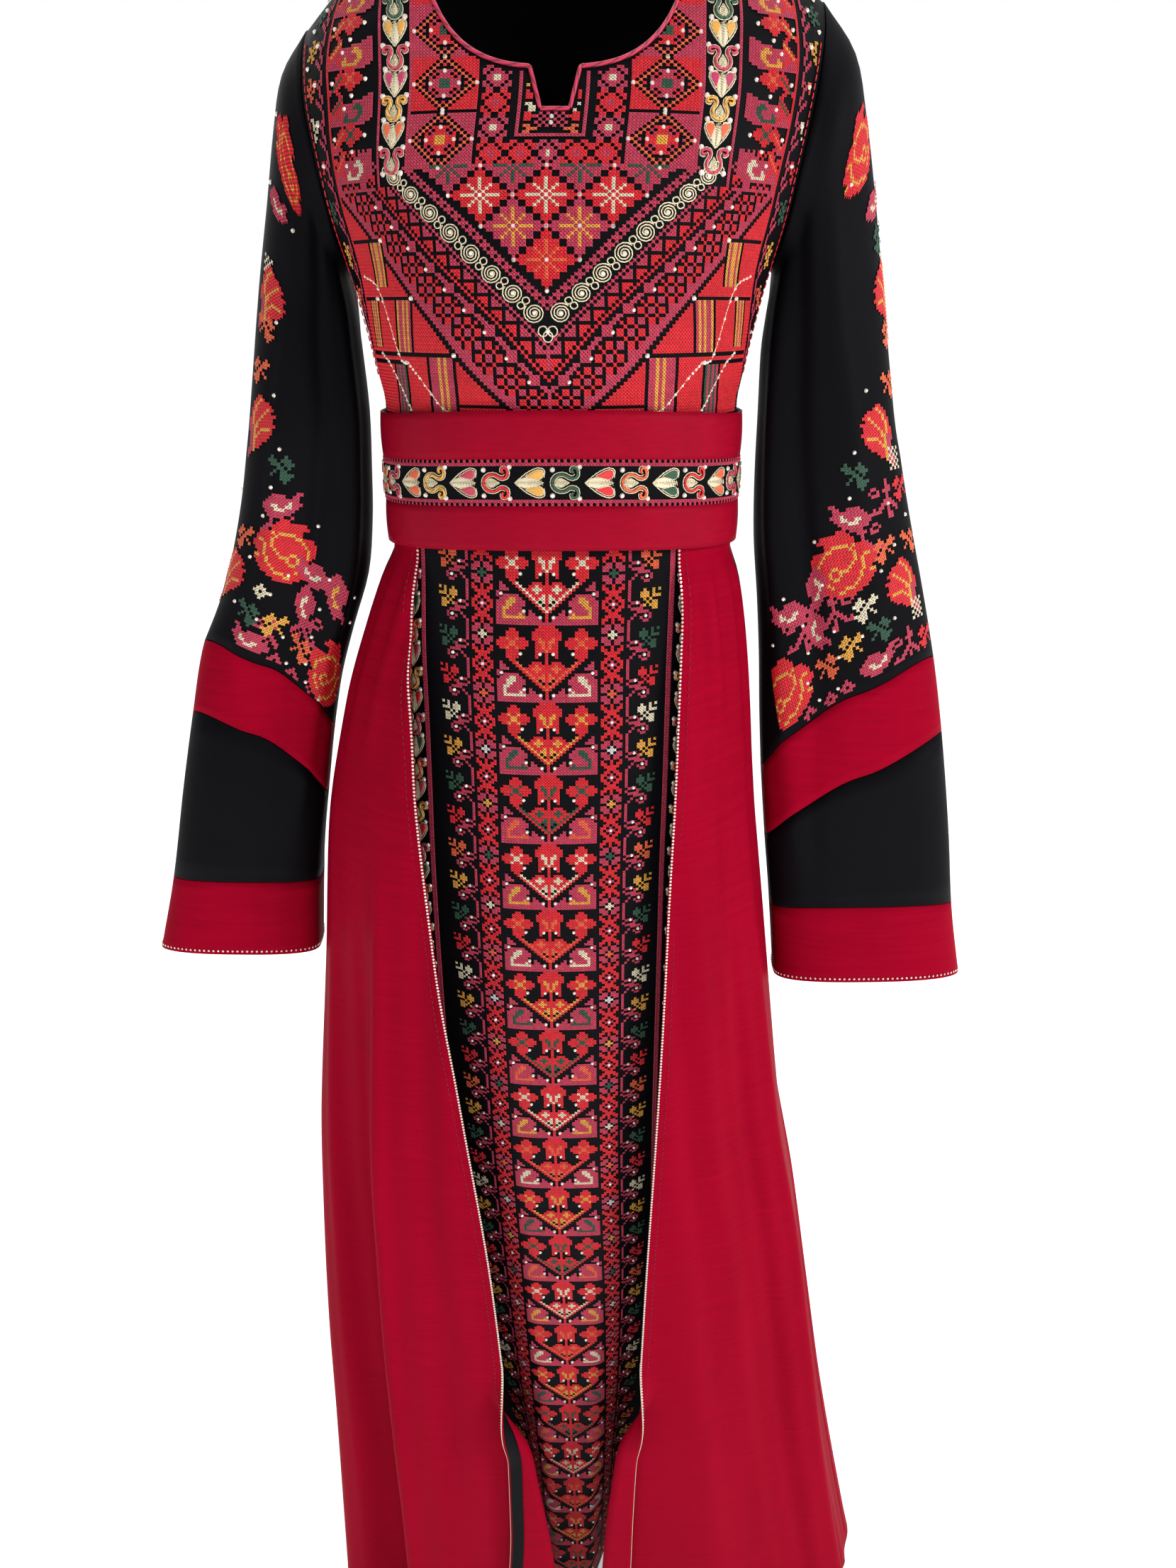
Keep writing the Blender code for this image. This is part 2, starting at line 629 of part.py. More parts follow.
def sleeve(side, crepe, satin):
    cap_end = SLEEVE[side]["z"][0]
    turns = [2.0 * math.pi * k / SLEEVE_COLUMNS for k in range(SLEEVE_COLUMNS)]
    rows = [[armhole_point(side, turn) for turn in turns]]
    rows += [[cap_point(side, turn, row) for turn in turns] for row in range(len(SLEEVE_CAP[side]["top_x"]))]
    ends = [seam_z(side, "band_top", turn) + 0.5 * SLEEVE_SEAM_GAP for turn in turns]
    for j in range(SLEEVE_ROWS + 1):
        down = j / SLEEVE_ROWS
        rows.append([sleeve_point(side, turn, cap_end + (end - cap_end) * down)
                     for turn, end in zip(turns, ends)])
    middle = Vector((0.175 if side == "left" else -0.175, 0.0, -0.12))
    wall("sleeve_upper_" + side, rows, CREPE, crepe, closed=True, inside=middle)
    sleeve_tube("sleeve_band_" + side, side, "band_top", "band_bottom", satin, SATIN)
    sleeve_tube("sleeve_lower_" + side, side, "band_bottom", "cuff_top", crepe, CREPE)
    sleeve_tube("cuff_band_" + side, side, "cuff_top", "hem", satin, SATIN)


def belt_band(name, top_z, height, proud, cloth):
    rows = []
    for z in (top_z, top_z - 0.5 * height, top_z - height + SEAM_GAP):
        rows.append([belt_point(2.0 * math.pi * k / BELT_COLUMNS, z, proud) for k in range(BELT_COLUMNS)])
    return wall(name, rows, BELT_WALL, cloth, closed=True)


def skirt_heights(hem, count):
    """Heights of a skirt's rows: plain under the belt, then closer together near the waist."""
    under_belt = [WAIST_SEAM_Z - SEAM_GAP, 0.5 * (WAIST_SEAM_Z + FLARE_Z), FLARE_Z]
    return under_belt + [FLARE_Z + (hem - FLARE_Z) * (k / count) ** ROWS_TOWARDS_WAIST
                         for k in range(1, count + 1)]


def underskirt(crepe):
    side_seam = 0.5 * math.pi
    for panel, first, last in (("front", -side_seam, side_seam), ("back", side_seam, 3.0 * side_seam)):
        columns = UNDERSKIRT_COLUMNS[panel]
        edge = (SEAM_GAP + EDGE_TUCK) / read(UNDERSKIRT, "half_width", WAIST_SEAM_Z)
        rows = []
        for z in skirt_heights(UNDERSKIRT_HEM_Z, UNDERSKIRT_ROWS):
            span = last - first - edge
            rows.append([underskirt_point(first + 0.5 * edge + span * k / columns, z)
                         for k in range(columns + 1)])
        wall("underskirt_" + panel, rows, CREPE, crepe, inside=Vector((0.0, 0.0, WAIST_SEAM_Z)))


def overskirt_front(side, satin):
    sign = 1.0 if side == "left" else -1.0
    columns = OVERSKIRT_FRONT_COLUMNS
    seam = sign * (SIDE_SEAM - (SEAM_GAP + EDGE_TUCK) / read(OVERSKIRT, "half_width", WAIST_SEAM_Z))
    rows = []
    for z in skirt_heights(OVERSKIRT_HEM_Z, OVERSKIRT_FRONT_ROWS):
        start, edge = rolled_edge(side, z)
        row = [overskirt_point(seam + (start - seam) * k / columns, z) for k in range(columns)]
        rows.append(row + edge)
    wall("overskirt_front_" + side, rows, SATIN, satin, inside=Vector((0.0, 0.0, WAIST_SEAM_Z)))


def overskirt_back(satin):
    columns = OVERSKIRT_BACK_COLUMNS
    span = 2.0 * (math.pi - SIDE_SEAM)
    rows = []
    for z in skirt_heights(OVERSKIRT_HEM_Z, OVERSKIRT_BACK_ROWS):
        rows.append([overskirt_point(SIDE_SEAM + span * k / columns, z) for k in range(columns + 1)])
    wall("overskirt_back", rows, SATIN, satin, inside=Vector((0.0, 0.0, WAIST_SEAM_Z)))


def main():
    for old in list(bpy.data.objects):
        bpy.data.objects.remove(old, do_unlink=True)
    collection = bpy.data.collections.new("thobe_dress")
    bpy.context.scene.collection.children.link(collection)

    crepe = material("black_crepe", (0.012, 0.012, 0.014), 0.75)
    satin = material("crimson_satin", (0.36, 0.008, 0.026), 0.42)
    thread = material("embroidery_thread", (0.45, 0.035, 0.075), 0.55)
    strip = material("belt_strip", (0.020, 0.016, 0.014), 0.70)

    bodice_panel("bodice_front", False, crepe)
    bodice_panel("bodice_back", True, crepe)
    neck_binding(thread)
    for side in ("left", "right"):
        sleeve(side, crepe, satin)
    centre_z = BELT_TOP_Z - BELT_UPPER_HEIGHT
    lower_z = centre_z - BELT_CENTRE_HEIGHT
    belt_band("belt_upper", BELT_TOP_Z, BELT_UPPER_HEIGHT, 0.0006, satin)
    belt_band("belt_centre", centre_z, BELT_CENTRE_HEIGHT, 0.0, strip)
    belt_band("belt_lower", lower_z, BELT_LOWER_HEIGHT, 0.0004, satin)
    underskirt(crepe)
    for side in ("left", "right"):
        overskirt_front(side, satin)
    overskirt_back(satin)


main()
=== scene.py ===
"""Looks of the Palestinian thobe dress: cloth, cross-stitch, couched cords, rhinestones and light.

Metres, +Z up.  The front faces -Y, and the wearer's left is at +X.  Embroidery is charted in
stitches, columns across and rows down, and each chart is laid on the cloth through its canvas.
"""

import math
import random

import bpy
import numpy as np
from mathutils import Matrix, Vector
from mathutils.bvhtree import BVHTree


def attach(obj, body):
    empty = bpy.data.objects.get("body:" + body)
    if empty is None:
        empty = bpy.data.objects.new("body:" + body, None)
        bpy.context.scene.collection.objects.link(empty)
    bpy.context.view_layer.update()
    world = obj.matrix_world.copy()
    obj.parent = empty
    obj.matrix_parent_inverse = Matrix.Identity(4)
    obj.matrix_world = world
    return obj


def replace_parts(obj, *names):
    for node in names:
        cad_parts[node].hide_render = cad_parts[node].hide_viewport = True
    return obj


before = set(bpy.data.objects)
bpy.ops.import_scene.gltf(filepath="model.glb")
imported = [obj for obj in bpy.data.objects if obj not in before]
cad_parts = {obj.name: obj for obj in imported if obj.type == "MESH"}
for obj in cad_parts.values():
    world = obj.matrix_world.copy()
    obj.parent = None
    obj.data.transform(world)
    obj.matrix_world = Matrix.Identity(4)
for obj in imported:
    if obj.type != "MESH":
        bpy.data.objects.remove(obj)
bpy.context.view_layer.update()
random.seed(11)


def table(columns, rows):
    """A short table written by rows and read by its named columns."""
    return {name: [row[place] for row in rows] for place, name in enumerate(columns.split())}


# ---- sizes of the garment, in metres

SIDES = (("left", 1.0), ("right", -1.0))   # the wearer's, with the sign of x there

CREPE = 0.0012            # wall of the black cloth
SATIN = 0.0013            # wall of the crimson cloth
BELT_WALL = 0.002
SEAM_GAP = 0.00002        # seams are all but closed
LAYER_GAP = 0.0012        # between layers that lie on each other at the waist
EDGE_TUCK = 0.00003       # and the upper of two edges is drawn in by this much more
ARMHOLE_CLEARANCE = 0.0009
SLEEVE_SEAM_GAP = 0.0008  # on the outer side of slanting seams, whose walls lean together inside

NECK_HALF_WIDTH = 0.0755
NECK_DROP_FRONT = 0.0975
NECK_DROP_BACK = 0.022
NECK_SQUARENESS = 2.8
NOTCH_TURN = 5.3          # degrees round the neckline from its middle to the notch's upper corners
NOTCH_BOTTOM_HALF = 0.008
NOTCH_BOTTOM_Z = -0.119

ROWS_TOWARDS_NECK = 1.5   # over 1 sets the rows closer together at the top
COLUMNS_TOWARDS_SIDE = 1.15

SHOULDER_TIP = {"left": (0.16, -0.047), "right": (0.152, -0.062)}        # the right one hangs lower
SHOULDER_ROUNDING = 0.06
ARMPIT_Z = -0.195
WAIST_SEAM_Z = -0.32
FLARE_Z = -0.372          # the skirts flare from here, just below the belt

UNDERSKIRT_HEM_Z = -1.405
OVERSKIRT_HEM_Z = -1.445
SIDE_SEAM = math.radians(96.0)  # angle of the overskirt side seams from the front
RING_POWER = 0.92         # 1 is an ellipse, less is squarer

BELT_TOP_Z = -0.277
BELT_UPPER_HEIGHT = 0.0286
BELT_CENTRE_HEIGHT = 0.0284
BELT_LOWER_HEIGHT = 0.0278
BELT_SIDE_DROP = 0.007    # the belt sits this much lower at the sides

# Sections of the torso.  Depths are from the body's middle plane, y = 0.
TORSO = table("z half_width front back", [
    (-0.322, 0.1183, 0.097, 0.0848),
    (-0.277, 0.119, 0.0985, 0.086),
    (-0.262, 0.1215, 0.11, 0.0885),
    (-0.235, 0.1265, 0.123, 0.091),
    (-0.195, 0.1365, 0.1325, 0.095),
    (-0.16, 0.152, 0.13, 0.098),
    (-0.12, 0.166, 0.113, 0.099),
    (-0.08, 0.173, 0.093, 0.095),
    (-0.04, 0.176, 0.075, 0.086),
    (0.001, 0.177, 0.062, 0.076),
])

# The shoulder seam, and how far from the middle the armhole seam lies at each height.
SHOULDER = table("x left_z right_z", [
    (0.0000, 0.0000, 0.0000),
    (0.0755, 0.0000, 0.0000),
    (0.1, -0.013, -0.0165),
    (0.13, -0.029, -0.041),
    (0.152, -0.042, -0.062),
    (0.16, -0.047, -0.07),
])
ARMHOLE = table("z left_x right_x", [
    (-0.195, 0.136, 0.136),
    (-0.185, 0.1378, 0.1375),
    (-0.15, 0.143, 0.142),
    (-0.1, 0.153, 0.15),
    (-0.062, 0.159, 0.152),
    (-0.047, 0.16, 0.152),
])

# Sections of the inner skirt.
UNDERSKIRT = table("z centre_x half_width front back", [
    (-0.3203, 0.000, 0.1158, 0.0943, 0.0823),
    (-0.362, 0.000, 0.1162, 0.095, 0.0828),
    (-0.45, -0.003, 0.126, 0.102, 0.092),
    (-0.6, -0.006, 0.14, 0.101, 0.103),
    (-0.8, -0.005, 0.15, 0.093, 0.115),
    (-1.0000, 0.001, 0.158, 0.082, 0.125),
    (-1.2, 0.007, 0.164, 0.068, 0.133),
    (-1.405, 0.013, 0.169, 0.052, 0.14),
])

# The embroidered front hangs as a ridge between two valleys, sharper towards the hem.
RIDGE = table("z centre_x half_width valley_depth", [
    (-0.3203, -0.004, 0.094, 0.000),
    (-0.38, -0.004, 0.092, 0.001),
    (-0.5, -0.005, 0.088, 0.007),
    (-0.7, -0.004, 0.082, 0.012),
    (-0.9, -0.002, 0.074, 0.018),
    (-1.1, 0.000, 0.06, 0.03),
    (-1.25, 0.002, 0.048, 0.043),
    (-1.405, 0.003, 0.04, 0.056),
])

# Across the ridge, in half widths: its rounded top ends, the valley starts, the cloth rises, all plain.
RIDGE_TOP, RIDGE_VALLEY, RIDGE_SIDE, RIDGE_FOOT = 0.35, 1.1, 1.35, 2.65

# Sections of the overskirt.
OVERSKIRT = table("z centre_x half_width front back", [
    (-0.3203, 0.000, 0.1183, 0.0968, 0.0848),
    (-0.372, 0.000, 0.1186, 0.0972, 0.0852),
    (-0.388, -0.001, 0.1235, 0.102, 0.0895),
    (-0.419, -0.004, 0.133, 0.108, 0.097),
    (-0.485, -0.011, 0.149, 0.115, 0.108),
    (-0.585, -0.017, 0.165, 0.118, 0.122),
    (-0.7, -0.015, 0.178, 0.115, 0.135),
    (-0.835, -0.012, 0.194, 0.111, 0.147),
    (-0.948, -0.004, 0.208, 0.108, 0.156),
    (-1.085, 0.005, 0.221, 0.103, 0.165),
    (-1.215, 0.015, 0.232, 0.099, 0.172),
    (-1.415, 0.033, 0.254, 0.092, 0.182),
    (-1.445, 0.036, 0.258, 0.091, 0.184),
])

# Where the overskirt's two front edges lie, and how wide a lap rolls forward there.
FRONT_EDGES = table("z right_edge_x right_lap left_edge_x left_lap", [
    (-0.3203, -0.0945, 0.004, 0.0765, 0.004),
    (-0.37, -0.0945, 0.004, 0.077, 0.004),
    (-0.418, -0.101, 0.004, 0.079, 0.004),
    (-0.506, -0.101, 0.004, 0.0785, 0.004),
    (-0.643, -0.093, 0.004, 0.075, 0.004),
    (-0.782, -0.079, 0.004, 0.071, 0.004),
    (-0.958, -0.061, 0.004, 0.065, 0.004),
    (-1.072, -0.054, 0.006, 0.062, 0.006),
    (-1.17, -0.05, 0.016, 0.058, 0.012),
    (-1.25, -0.05, 0.026, 0.056, 0.017),
    (-1.34, -0.054, 0.038, 0.055, 0.02),
    (-1.445, -0.058, 0.046, 0.056, 0.022),
])
ROLL_START_Z = -1.05
ROLL_FULL_Z = -1.17
ROLL_TURN = 0.012         # cloth taken up by the half turn of the roll

# Folds of the overskirt: the angle of each from the front, towards the wearer's left, at its top and at
# the hem, its half width in degrees, its height at the hem (in is negative) and where it starts.
FOLDS = table("angle_top angle_end half_width height start_z", [
    (-36, -36, 15, 0.01, -0.5),
    (-60, -57, 11, -0.026, -0.52),
    (-84, -82, 15, 0.012, -0.6),
    (-112, -112, 12, -0.016, -0.55),
    (-132, -132, 11, 0.014, -0.55),
    (-153, -153, 11, -0.014, -0.5),
    (-173, -172, 12, 0.015, -0.5),
    (168, 167, 11, -0.014, -0.5),
    (148, 147, 11, 0.015, -0.55),
    (127, 127, 11, -0.016, -0.55),
    (106, 105, 12, 0.012, -0.6),
    (84, 82, 11, -0.01, -0.65),
    (64, 62, 13, 0.01, -0.55),
    (44, 44, 10, -0.008, -0.5),
    (27, 26, 10, 0.005, -0.55),
])
GATHER_DEPTH = 0.0022     # small gathers just under the belt
GATHER_PERIOD = 13.0      # degrees from one gather to the next
GATHER_PEAK_Z = -0.4
GATHER_END_Z = -0.56

# Sleeves.  The cap's sections run from the shoulder point (top) to the underarm; then come level sections.
SLEEVE_CAP = {
    "left": table("top_x top_z under_x under_z front back", [
        (0.181, -0.074, 0.14, -0.201, 0.056, 0.062),
        (0.191, -0.108, 0.1385, -0.211, 0.052, 0.06),
        (0.2005, -0.152, 0.1365, -0.226, 0.049, 0.058),
        (0.211, -0.208, 0.1345, -0.248, 0.047, 0.056),
    ]),
    "right": table("top_x top_z under_x under_z front back", [
        (0.169, -0.085, 0.14, -0.202, 0.054, 0.06),
        (0.1775, -0.115, 0.1385, -0.211, 0.05, 0.059),
        (0.186, -0.156, 0.136, -0.226, 0.047, 0.058),
        (0.197, -0.208, 0.134, -0.248, 0.045, 0.056),
    ]),
}
SLEEVE = {
    "left": table("z outer_x inner_x front back", [
        (-0.285, 0.2255, 0.1345, 0.045, 0.056),
        (-0.345, 0.241, 0.1345, 0.044, 0.057),
        (-0.405, 0.258, 0.14, 0.043, 0.058),
        (-0.461, 0.273, 0.145, 0.041, 0.06),
        (-0.522, 0.286, 0.149, 0.04, 0.062),
        (-0.601, 0.3, 0.157, 0.039, 0.063),
        (-0.661, 0.309, 0.1645, 0.038, 0.063),
        (-0.724, 0.322, 0.171, 0.038, 0.064),
    ]),
    "right": table("z outer_x inner_x front back", [
        (-0.285, 0.211, 0.132, 0.044, 0.056),
        (-0.345, 0.224, 0.134, 0.042, 0.058),
        (-0.405, 0.243, 0.142, 0.039, 0.06),
        (-0.449, 0.264, 0.159, 0.037, 0.062),
        (-0.5, 0.278, 0.172, 0.035, 0.064),
        (-0.56, 0.293, 0.183, 0.033, 0.065),
        (-0.636, 0.3105, 0.195, 0.032, 0.066),
        (-0.701, 0.329, 0.201, 0.032, 0.066),
    ]),
}
# Seams round each sleeve: height at its outer side and at its inner side, and the lift in front.
SLEEVE_SEAMS = {
    "left": {
        "band_top": (-0.461, -0.545, 0.027),
        "band_bottom": (-0.517, -0.603, 0.02),
        "cuff_top": (-0.66, -0.664, 0.013),
        "hem": (-0.724, -0.728, 0.01),
    },
    "right": {
        "band_top": (-0.449, -0.511, 0.024),
        "band_bottom": (-0.505, -0.567, 0.027),
        "cuff_top": (-0.637, -0.64, 0.008),
        "hem": (-0.701, -0.704, 0.008),
    },
}
SLEEVE_POWER = 0.8        # the sleeve's sections are squarer than an ellipse

# ---- sizes of the looks

# Degrees round the neckline, and shares of the shoulder, at which the bodice's columns end.
NECK_FRONT_TURNS = [9, 14, 20, 27, 35, 44, 53, 61, 68, 74, 79, 83, 86, 88, 89.2, 89.8, 90]
NECK_BACK_TURNS = [0, 10, 20, 30, 40, 50, 60, 69, 77, 83, 87, 89, 90]
SHOULDER_SHARES = [0.08, 0.17, 0.27, 0.36, 0.45, 0.54, 0.63, 0.72, 0.81, 0.9, 1.0]
ROLL_STEPS = 14           # columns of cloth in the half turn of the rolled edge
LAP_STEPS = 8             # and in its flat lap
ROWS_UNDER_BELT = 3
ROWS_OF_CLOTH = {"bodice": 64, "sleeve": 44, "band": 8, "belt": 6, "skirt": 110}
ROWS_BELOW_CAP = 7
SLEEVE_COLUMNS = 96
SLEEVE_TURNS = [2.0 * math.pi * column / SLEEVE_COLUMNS for column in range(SLEEVE_COLUMNS)]
BELT_TURNS = 120
UNDERSKIRT_STEPS = {"front": 150, "back": 70}
OVERSKIRT_STEPS = {"front": 60, "back": 150}

# Colours are linear.
CLOTH_BLACK = (0.0018, 0.0018, 0.0028)
SATIN_RED = (0.36, 0.0022, 0.02)
# A deeper crimson: the slubs' own tone, and painted shade in the hollows of the puckers.
SATIN_DEEP_AND_SHADE = (0.2, 0.0008, 0.009)
SATIN_GLINT = (1.0, 0.35, 0.45)
# The crepe's own black, and its painted sheen where the nap catches light.
NAP_DARK, NAP_PAINTED_SHEEN = (0.0012, 0.0012, 0.002), (0.004, 0.0038, 0.0052)
THREADS = {
    "R": (0.86, 0.014, 0.026),      # red
    "P": (0.64, 0.044, 0.1),        # rose
    "O": (0.95, 0.15, 0.05),        # orange
    "Y": (0.9, 0.43, 0.06),         # yellow
    "C": (0.9, 0.8, 0.56),          # cream
    "G": (0.025, 0.1, 0.055),       # dark green
    "W": (0.8, 0.78, 0.72),         # white
}
GOLD_CORD = (0.93, 0.82, 0.56)
THREAD_SHADES = (0.86, 1.1)
STITCH_RISE = 0.0005      # the crossing of a stitch stands this far above its corners
STITCH_LIFT = 0.00045     # and the corners this far above the cloth
LEG_NARROWNESS = 3.2      # the legs of a stitch fill less of it as this grows
BELT_BULGE = 0.0007       # each row of the belt is this much fuller at its middle
CHEST = (0.0, 0.0, -0.2)  # a place inside the bodice
CLOTH_REACH = 0.0015      # a canvas settles onto cloth that is nearer than this
CAMERA_PLACE = (0.018, -0.845, -0.22)
CAMERA_PITCH = 68.0       # degrees up from looking straight down
CAMERA_LENS = 27.03       # millimetres
LIGHTS_AIM = (0.0, 0.0, -0.6)
# Soft boxes: name, place, width and height, power.
LIGHTS = [
    ("key", (2.5, -1.6, 0.9), (0.8, 1.0), 66.0),
    ("fill", (-1.6, -2.4, 0.4), (1.0, 1.4), 9.0),
    ("low", (0.3, -2.2, -0.9), (1.6, 0.8), 6.0),
    ("top", (0.0, 0.4, 1.9), (1.6, 1.6), 16.0),
    ("rim", (-1.2, 1.8, 0.6), (1.2, 1.4), 6.0),
]

# Finer folds of the overskirt, as FOLDS, each with the height where it dies away.
FINE_FOLDS = table("angle_top angle_end half_width height start_z end_z", [
    (-42, -45, 3.4, 0.013, -0.56, -1.9),
    (-50, -53, 4.6, -0.013, -0.6, -1.9),
    (-29, -26, 3.6, -0.0036, -0.5, -1.6),
    (-22, -23, 2.6, 0.0016, -0.42, -0.95),
    (-70, -66, 3.8, 0.005, -0.5, -1.9),
    (-95, -97, 4.0, -0.0045, -0.52, -1.9),
    (33, 31, 3.0, -0.003, -0.45, -1.5),
    (40, 43, 3.6, 0.0044, -0.46, -1.9),
    (54, 53, 3.0, -0.006, -0.46, -1.9),
    (66, 67, 3.2, 0.0062, -0.48, -1.9),
    (92, 94, 3.6, -0.004, -0.52, -1.9),
    (115, 117, 4.0, 0.0046, -0.5, -1.9),
    (138, 136, 3.6, -0.004, -0.5, -1.9),
    (158, 160, 4.0, 0.0044, -0.5, -1.9),
    (-120, -121, 3.8, 0.0046, -0.5, -1.9),
    (-143, -141, 3.6, -0.004, -0.5, -1.9),
    (-164, -163, 4.0, 0.004, -0.5, -1.9),
    (179, 178, 3.4, -0.0034, -0.5, -1.9),
])

# Creases of the sleeves, as FINE_FOLDS, with their angles counted from the outer side towards the front.
SLEEVE_CREASES = {
    "right": table("angle_top angle_end half_width height start_z end_z", [
        (120, 96, 11, -0.005, -0.105, -0.56),
        (150, 132, 10, 0.0048, -0.12, -0.6),
        (84, 72, 10, 0.003, -0.16, -0.48),
        (102, 112, 7, -0.0024, -0.3, -0.64),
        (200, 205, 13, -0.005, -0.14, -0.64),
        (250, 246, 12, 0.005, -0.14, -0.64),
        (300, 296, 12, -0.004, -0.12, -0.64),
    ]),
    "left": table("angle_top angle_end half_width height start_z end_z", [
        (128, 104, 11, -0.0048, -0.1, -0.58),
        (152, 134, 10, 0.0046, -0.12, -0.62),
        (88, 76, 9, 0.0028, -0.15, -0.48),
        (112, 120, 7, -0.0022, -0.32, -0.66),
        (200, 205, 13, -0.005, -0.14, -0.66),
        (250, 246, 12, 0.005, -0.14, -0.66),
        (300, 296, 12, -0.004, -0.12, -0.66),
    ]),
}


# ---- curves through the tables


def smooth_value(places, values, place):
    """Value at a place on a smooth curve through the rows, which never overshoots them."""
    if places[0] > places[-1]:
        places, values = places[::-1], values[::-1]
    place = min(max(place, places[0]), places[-1])
    last = len(places) - 2
    row = next((k for k in range(last + 1) if place <= places[k + 1]), last)
    slopes = [(values[k + 1] - values[k]) / (places[k + 1] - places[k]) for k in range(last + 1)]

    def tangent(k):
        if k == 0 or k == last + 1:
            return slopes[0] if k == 0 else slopes[last]
        before, after = slopes[k - 1], slopes[k]
        return 0.0 if before * after <= 0.0 else 2.0 * before * after / (before + after)

    step = places[row + 1] - places[row]
    t = (place - places[row]) / step
    rise = values[row + 1] - values[row]
    start, end = tangent(row) * step, tangent(row + 1) * step
    return (values[row] + start * t + (3.0 * rise - 2.0 * start - end) * t * t
            + (start + end - 2.0 * rise) * t ** 3)


def read(rows, column, place, key="z"):
    return smooth_value(rows[key], rows[column], place)


def smoothstep(value):
    t = min(max(value, 0.0), 1.0)
    return t * t * (3.0 - 2.0 * t)


def signed_power(value, power):
    return math.copysign(abs(value) ** power, value)


def ring_point(angle, half_width, front, back, centre_x=0.0):
    """A point of a level section; the angle is 0 in front and grows towards +X."""
    depth = front if math.cos(angle) > 0.0 else back
    return Vector((centre_x + half_width * signed_power(math.sin(angle), RING_POWER),
                   -depth * signed_power(math.cos(angle), RING_POWER), 0.0))


# ---- the cloth's surfaces


def side_name(x):
    return "left" if x >= 0.0 else "right"


def shoulder_z(x):
    return smooth_value(SHOULDER["x"], SHOULDER[side_name(x) + "_z"], abs(x))


def torso_point(angle, z):
    """Outer surface of the bodice, closed in to y = 0 along the shoulder seams."""
    point = ring_point(angle, read(TORSO, "half_width", z), read(TORSO, "front", z), read(TORSO, "back", z))
    below = min(max((shoulder_z(point.x) - z) / SHOULDER_ROUNDING, 0.0), 1.0)
    point.y *= math.sqrt(1.0 - (1.0 - below) ** 2)
    point.z = z
    return point


def torso_angle(x, z):
    """The angle from the front at which the torso's section at z has this x."""
    share = min(abs(x) / read(TORSO, "half_width", z), 1.0)
    return math.asin(share ** (1.0 / RING_POWER))


def armhole_x(side, z):
    return read(ARMHOLE, side + "_x", z) if z > ARMPIT_Z else read(TORSO, "half_width", z)


def skirt_ridge(x, z):
    """How far the inner skirt falls back beside the embroidered ridge."""
    half_width = read(RIDGE, "half_width", z)
    away = abs(x - read(RIDGE, "centre_x", z)) / half_width
    depth = read(RIDGE, "valley_depth", z)
    fall = smoothstep((away - RIDGE_TOP) / (RIDGE_VALLEY - RIDGE_TOP))
    rise = smoothstep((away - RIDGE_SIDE) / (RIDGE_FOOT - RIDGE_SIDE))
    return depth * fall * (1.0 - rise)


def section_point(sections, angle, z):
    """A point of a skirt's plain section at this height."""
    sizes = [read(sections, name, z) for name in ("half_width", "front", "back", "centre_x")]
    point = ring_point(angle, *sizes)
    point.z = z
    return point


def underskirt_point(angle, z):
    point = section_point(UNDERSKIRT, angle, z)
    point.y += skirt_ridge(point.x, z) * smoothstep(2.0 * math.cos(angle))
    return point


def angle_between(angle, centre):
    """Difference of two angles in degrees, from -180 to 180."""
    return (angle - centre + 180.0) % 360.0 - 180.0


def one_fold(folds, row, degrees, along):
    """Height of one fold at this angle, at a share of its way down."""
    top, end = folds["angle_top"][row], folds["angle_end"][row]
    away = angle_between(degrees, top + (end - top) * along) / folds["half_width"][row]
    return folds["height"][row] * math.exp(-away * away)


def short_folds(folds, degrees, z, sharpness):
    """Height of the folds that rise and die away again between two heights."""
    height = 0.0
    for row, (start, end) in enumerate(zip(folds["start_z"], folds["end_z"])):
        along = (start - z) / (start - end)
        if 0.0 < along < 1.0:
            height += one_fold(folds, row, degrees, along) * math.sin(math.pi * along) ** sharpness
    return height


def fold_height(angle, z):
    """How far the overskirt stands out of its plain section."""
    degrees = math.degrees(angle)
    height = short_folds(FINE_FOLDS, degrees, z, 0.8)
    for row, start in enumerate(FOLDS["start_z"]):
        grown = smoothstep((start - z) / (start - OVERSKIRT_HEM_Z)) ** 0.75
        height += one_fold(FOLDS, row, degrees, grown) * grown
    if z < WAIST_SEAM_Z and z > GATHER_END_Z:
        rise = smoothstep((FLARE_Z - z) / (FLARE_Z - GATHER_PEAK_Z))
        fall = 1.0 - smoothstep((GATHER_PEAK_Z - z) / (GATHER_PEAK_Z - GATHER_END_Z))
        height += GATHER_DEPTH * rise * fall * math.cos(2.0 * math.pi * degrees / GATHER_PERIOD)
    return height


def overskirt_point(angle, z):
    step = math.radians(1.0)
    along = section_point(OVERSKIRT, angle + step, z) - section_point(OVERSKIRT, angle - step, z)
    outward = Vector((along.y, -along.x, 0.0)).normalized()
    return section_point(OVERSKIRT, angle, z) + outward * fold_height(angle, z)


def overskirt_angle(x, z):
    """The angle from the front at which the overskirt's plain section has this x."""
    share = (x - read(OVERSKIRT, "centre_x", z)) / read(OVERSKIRT, "half_width", z)
    return math.asin(signed_power(min(max(share, -1.0), 1.0), 1.0 / RING_POWER))


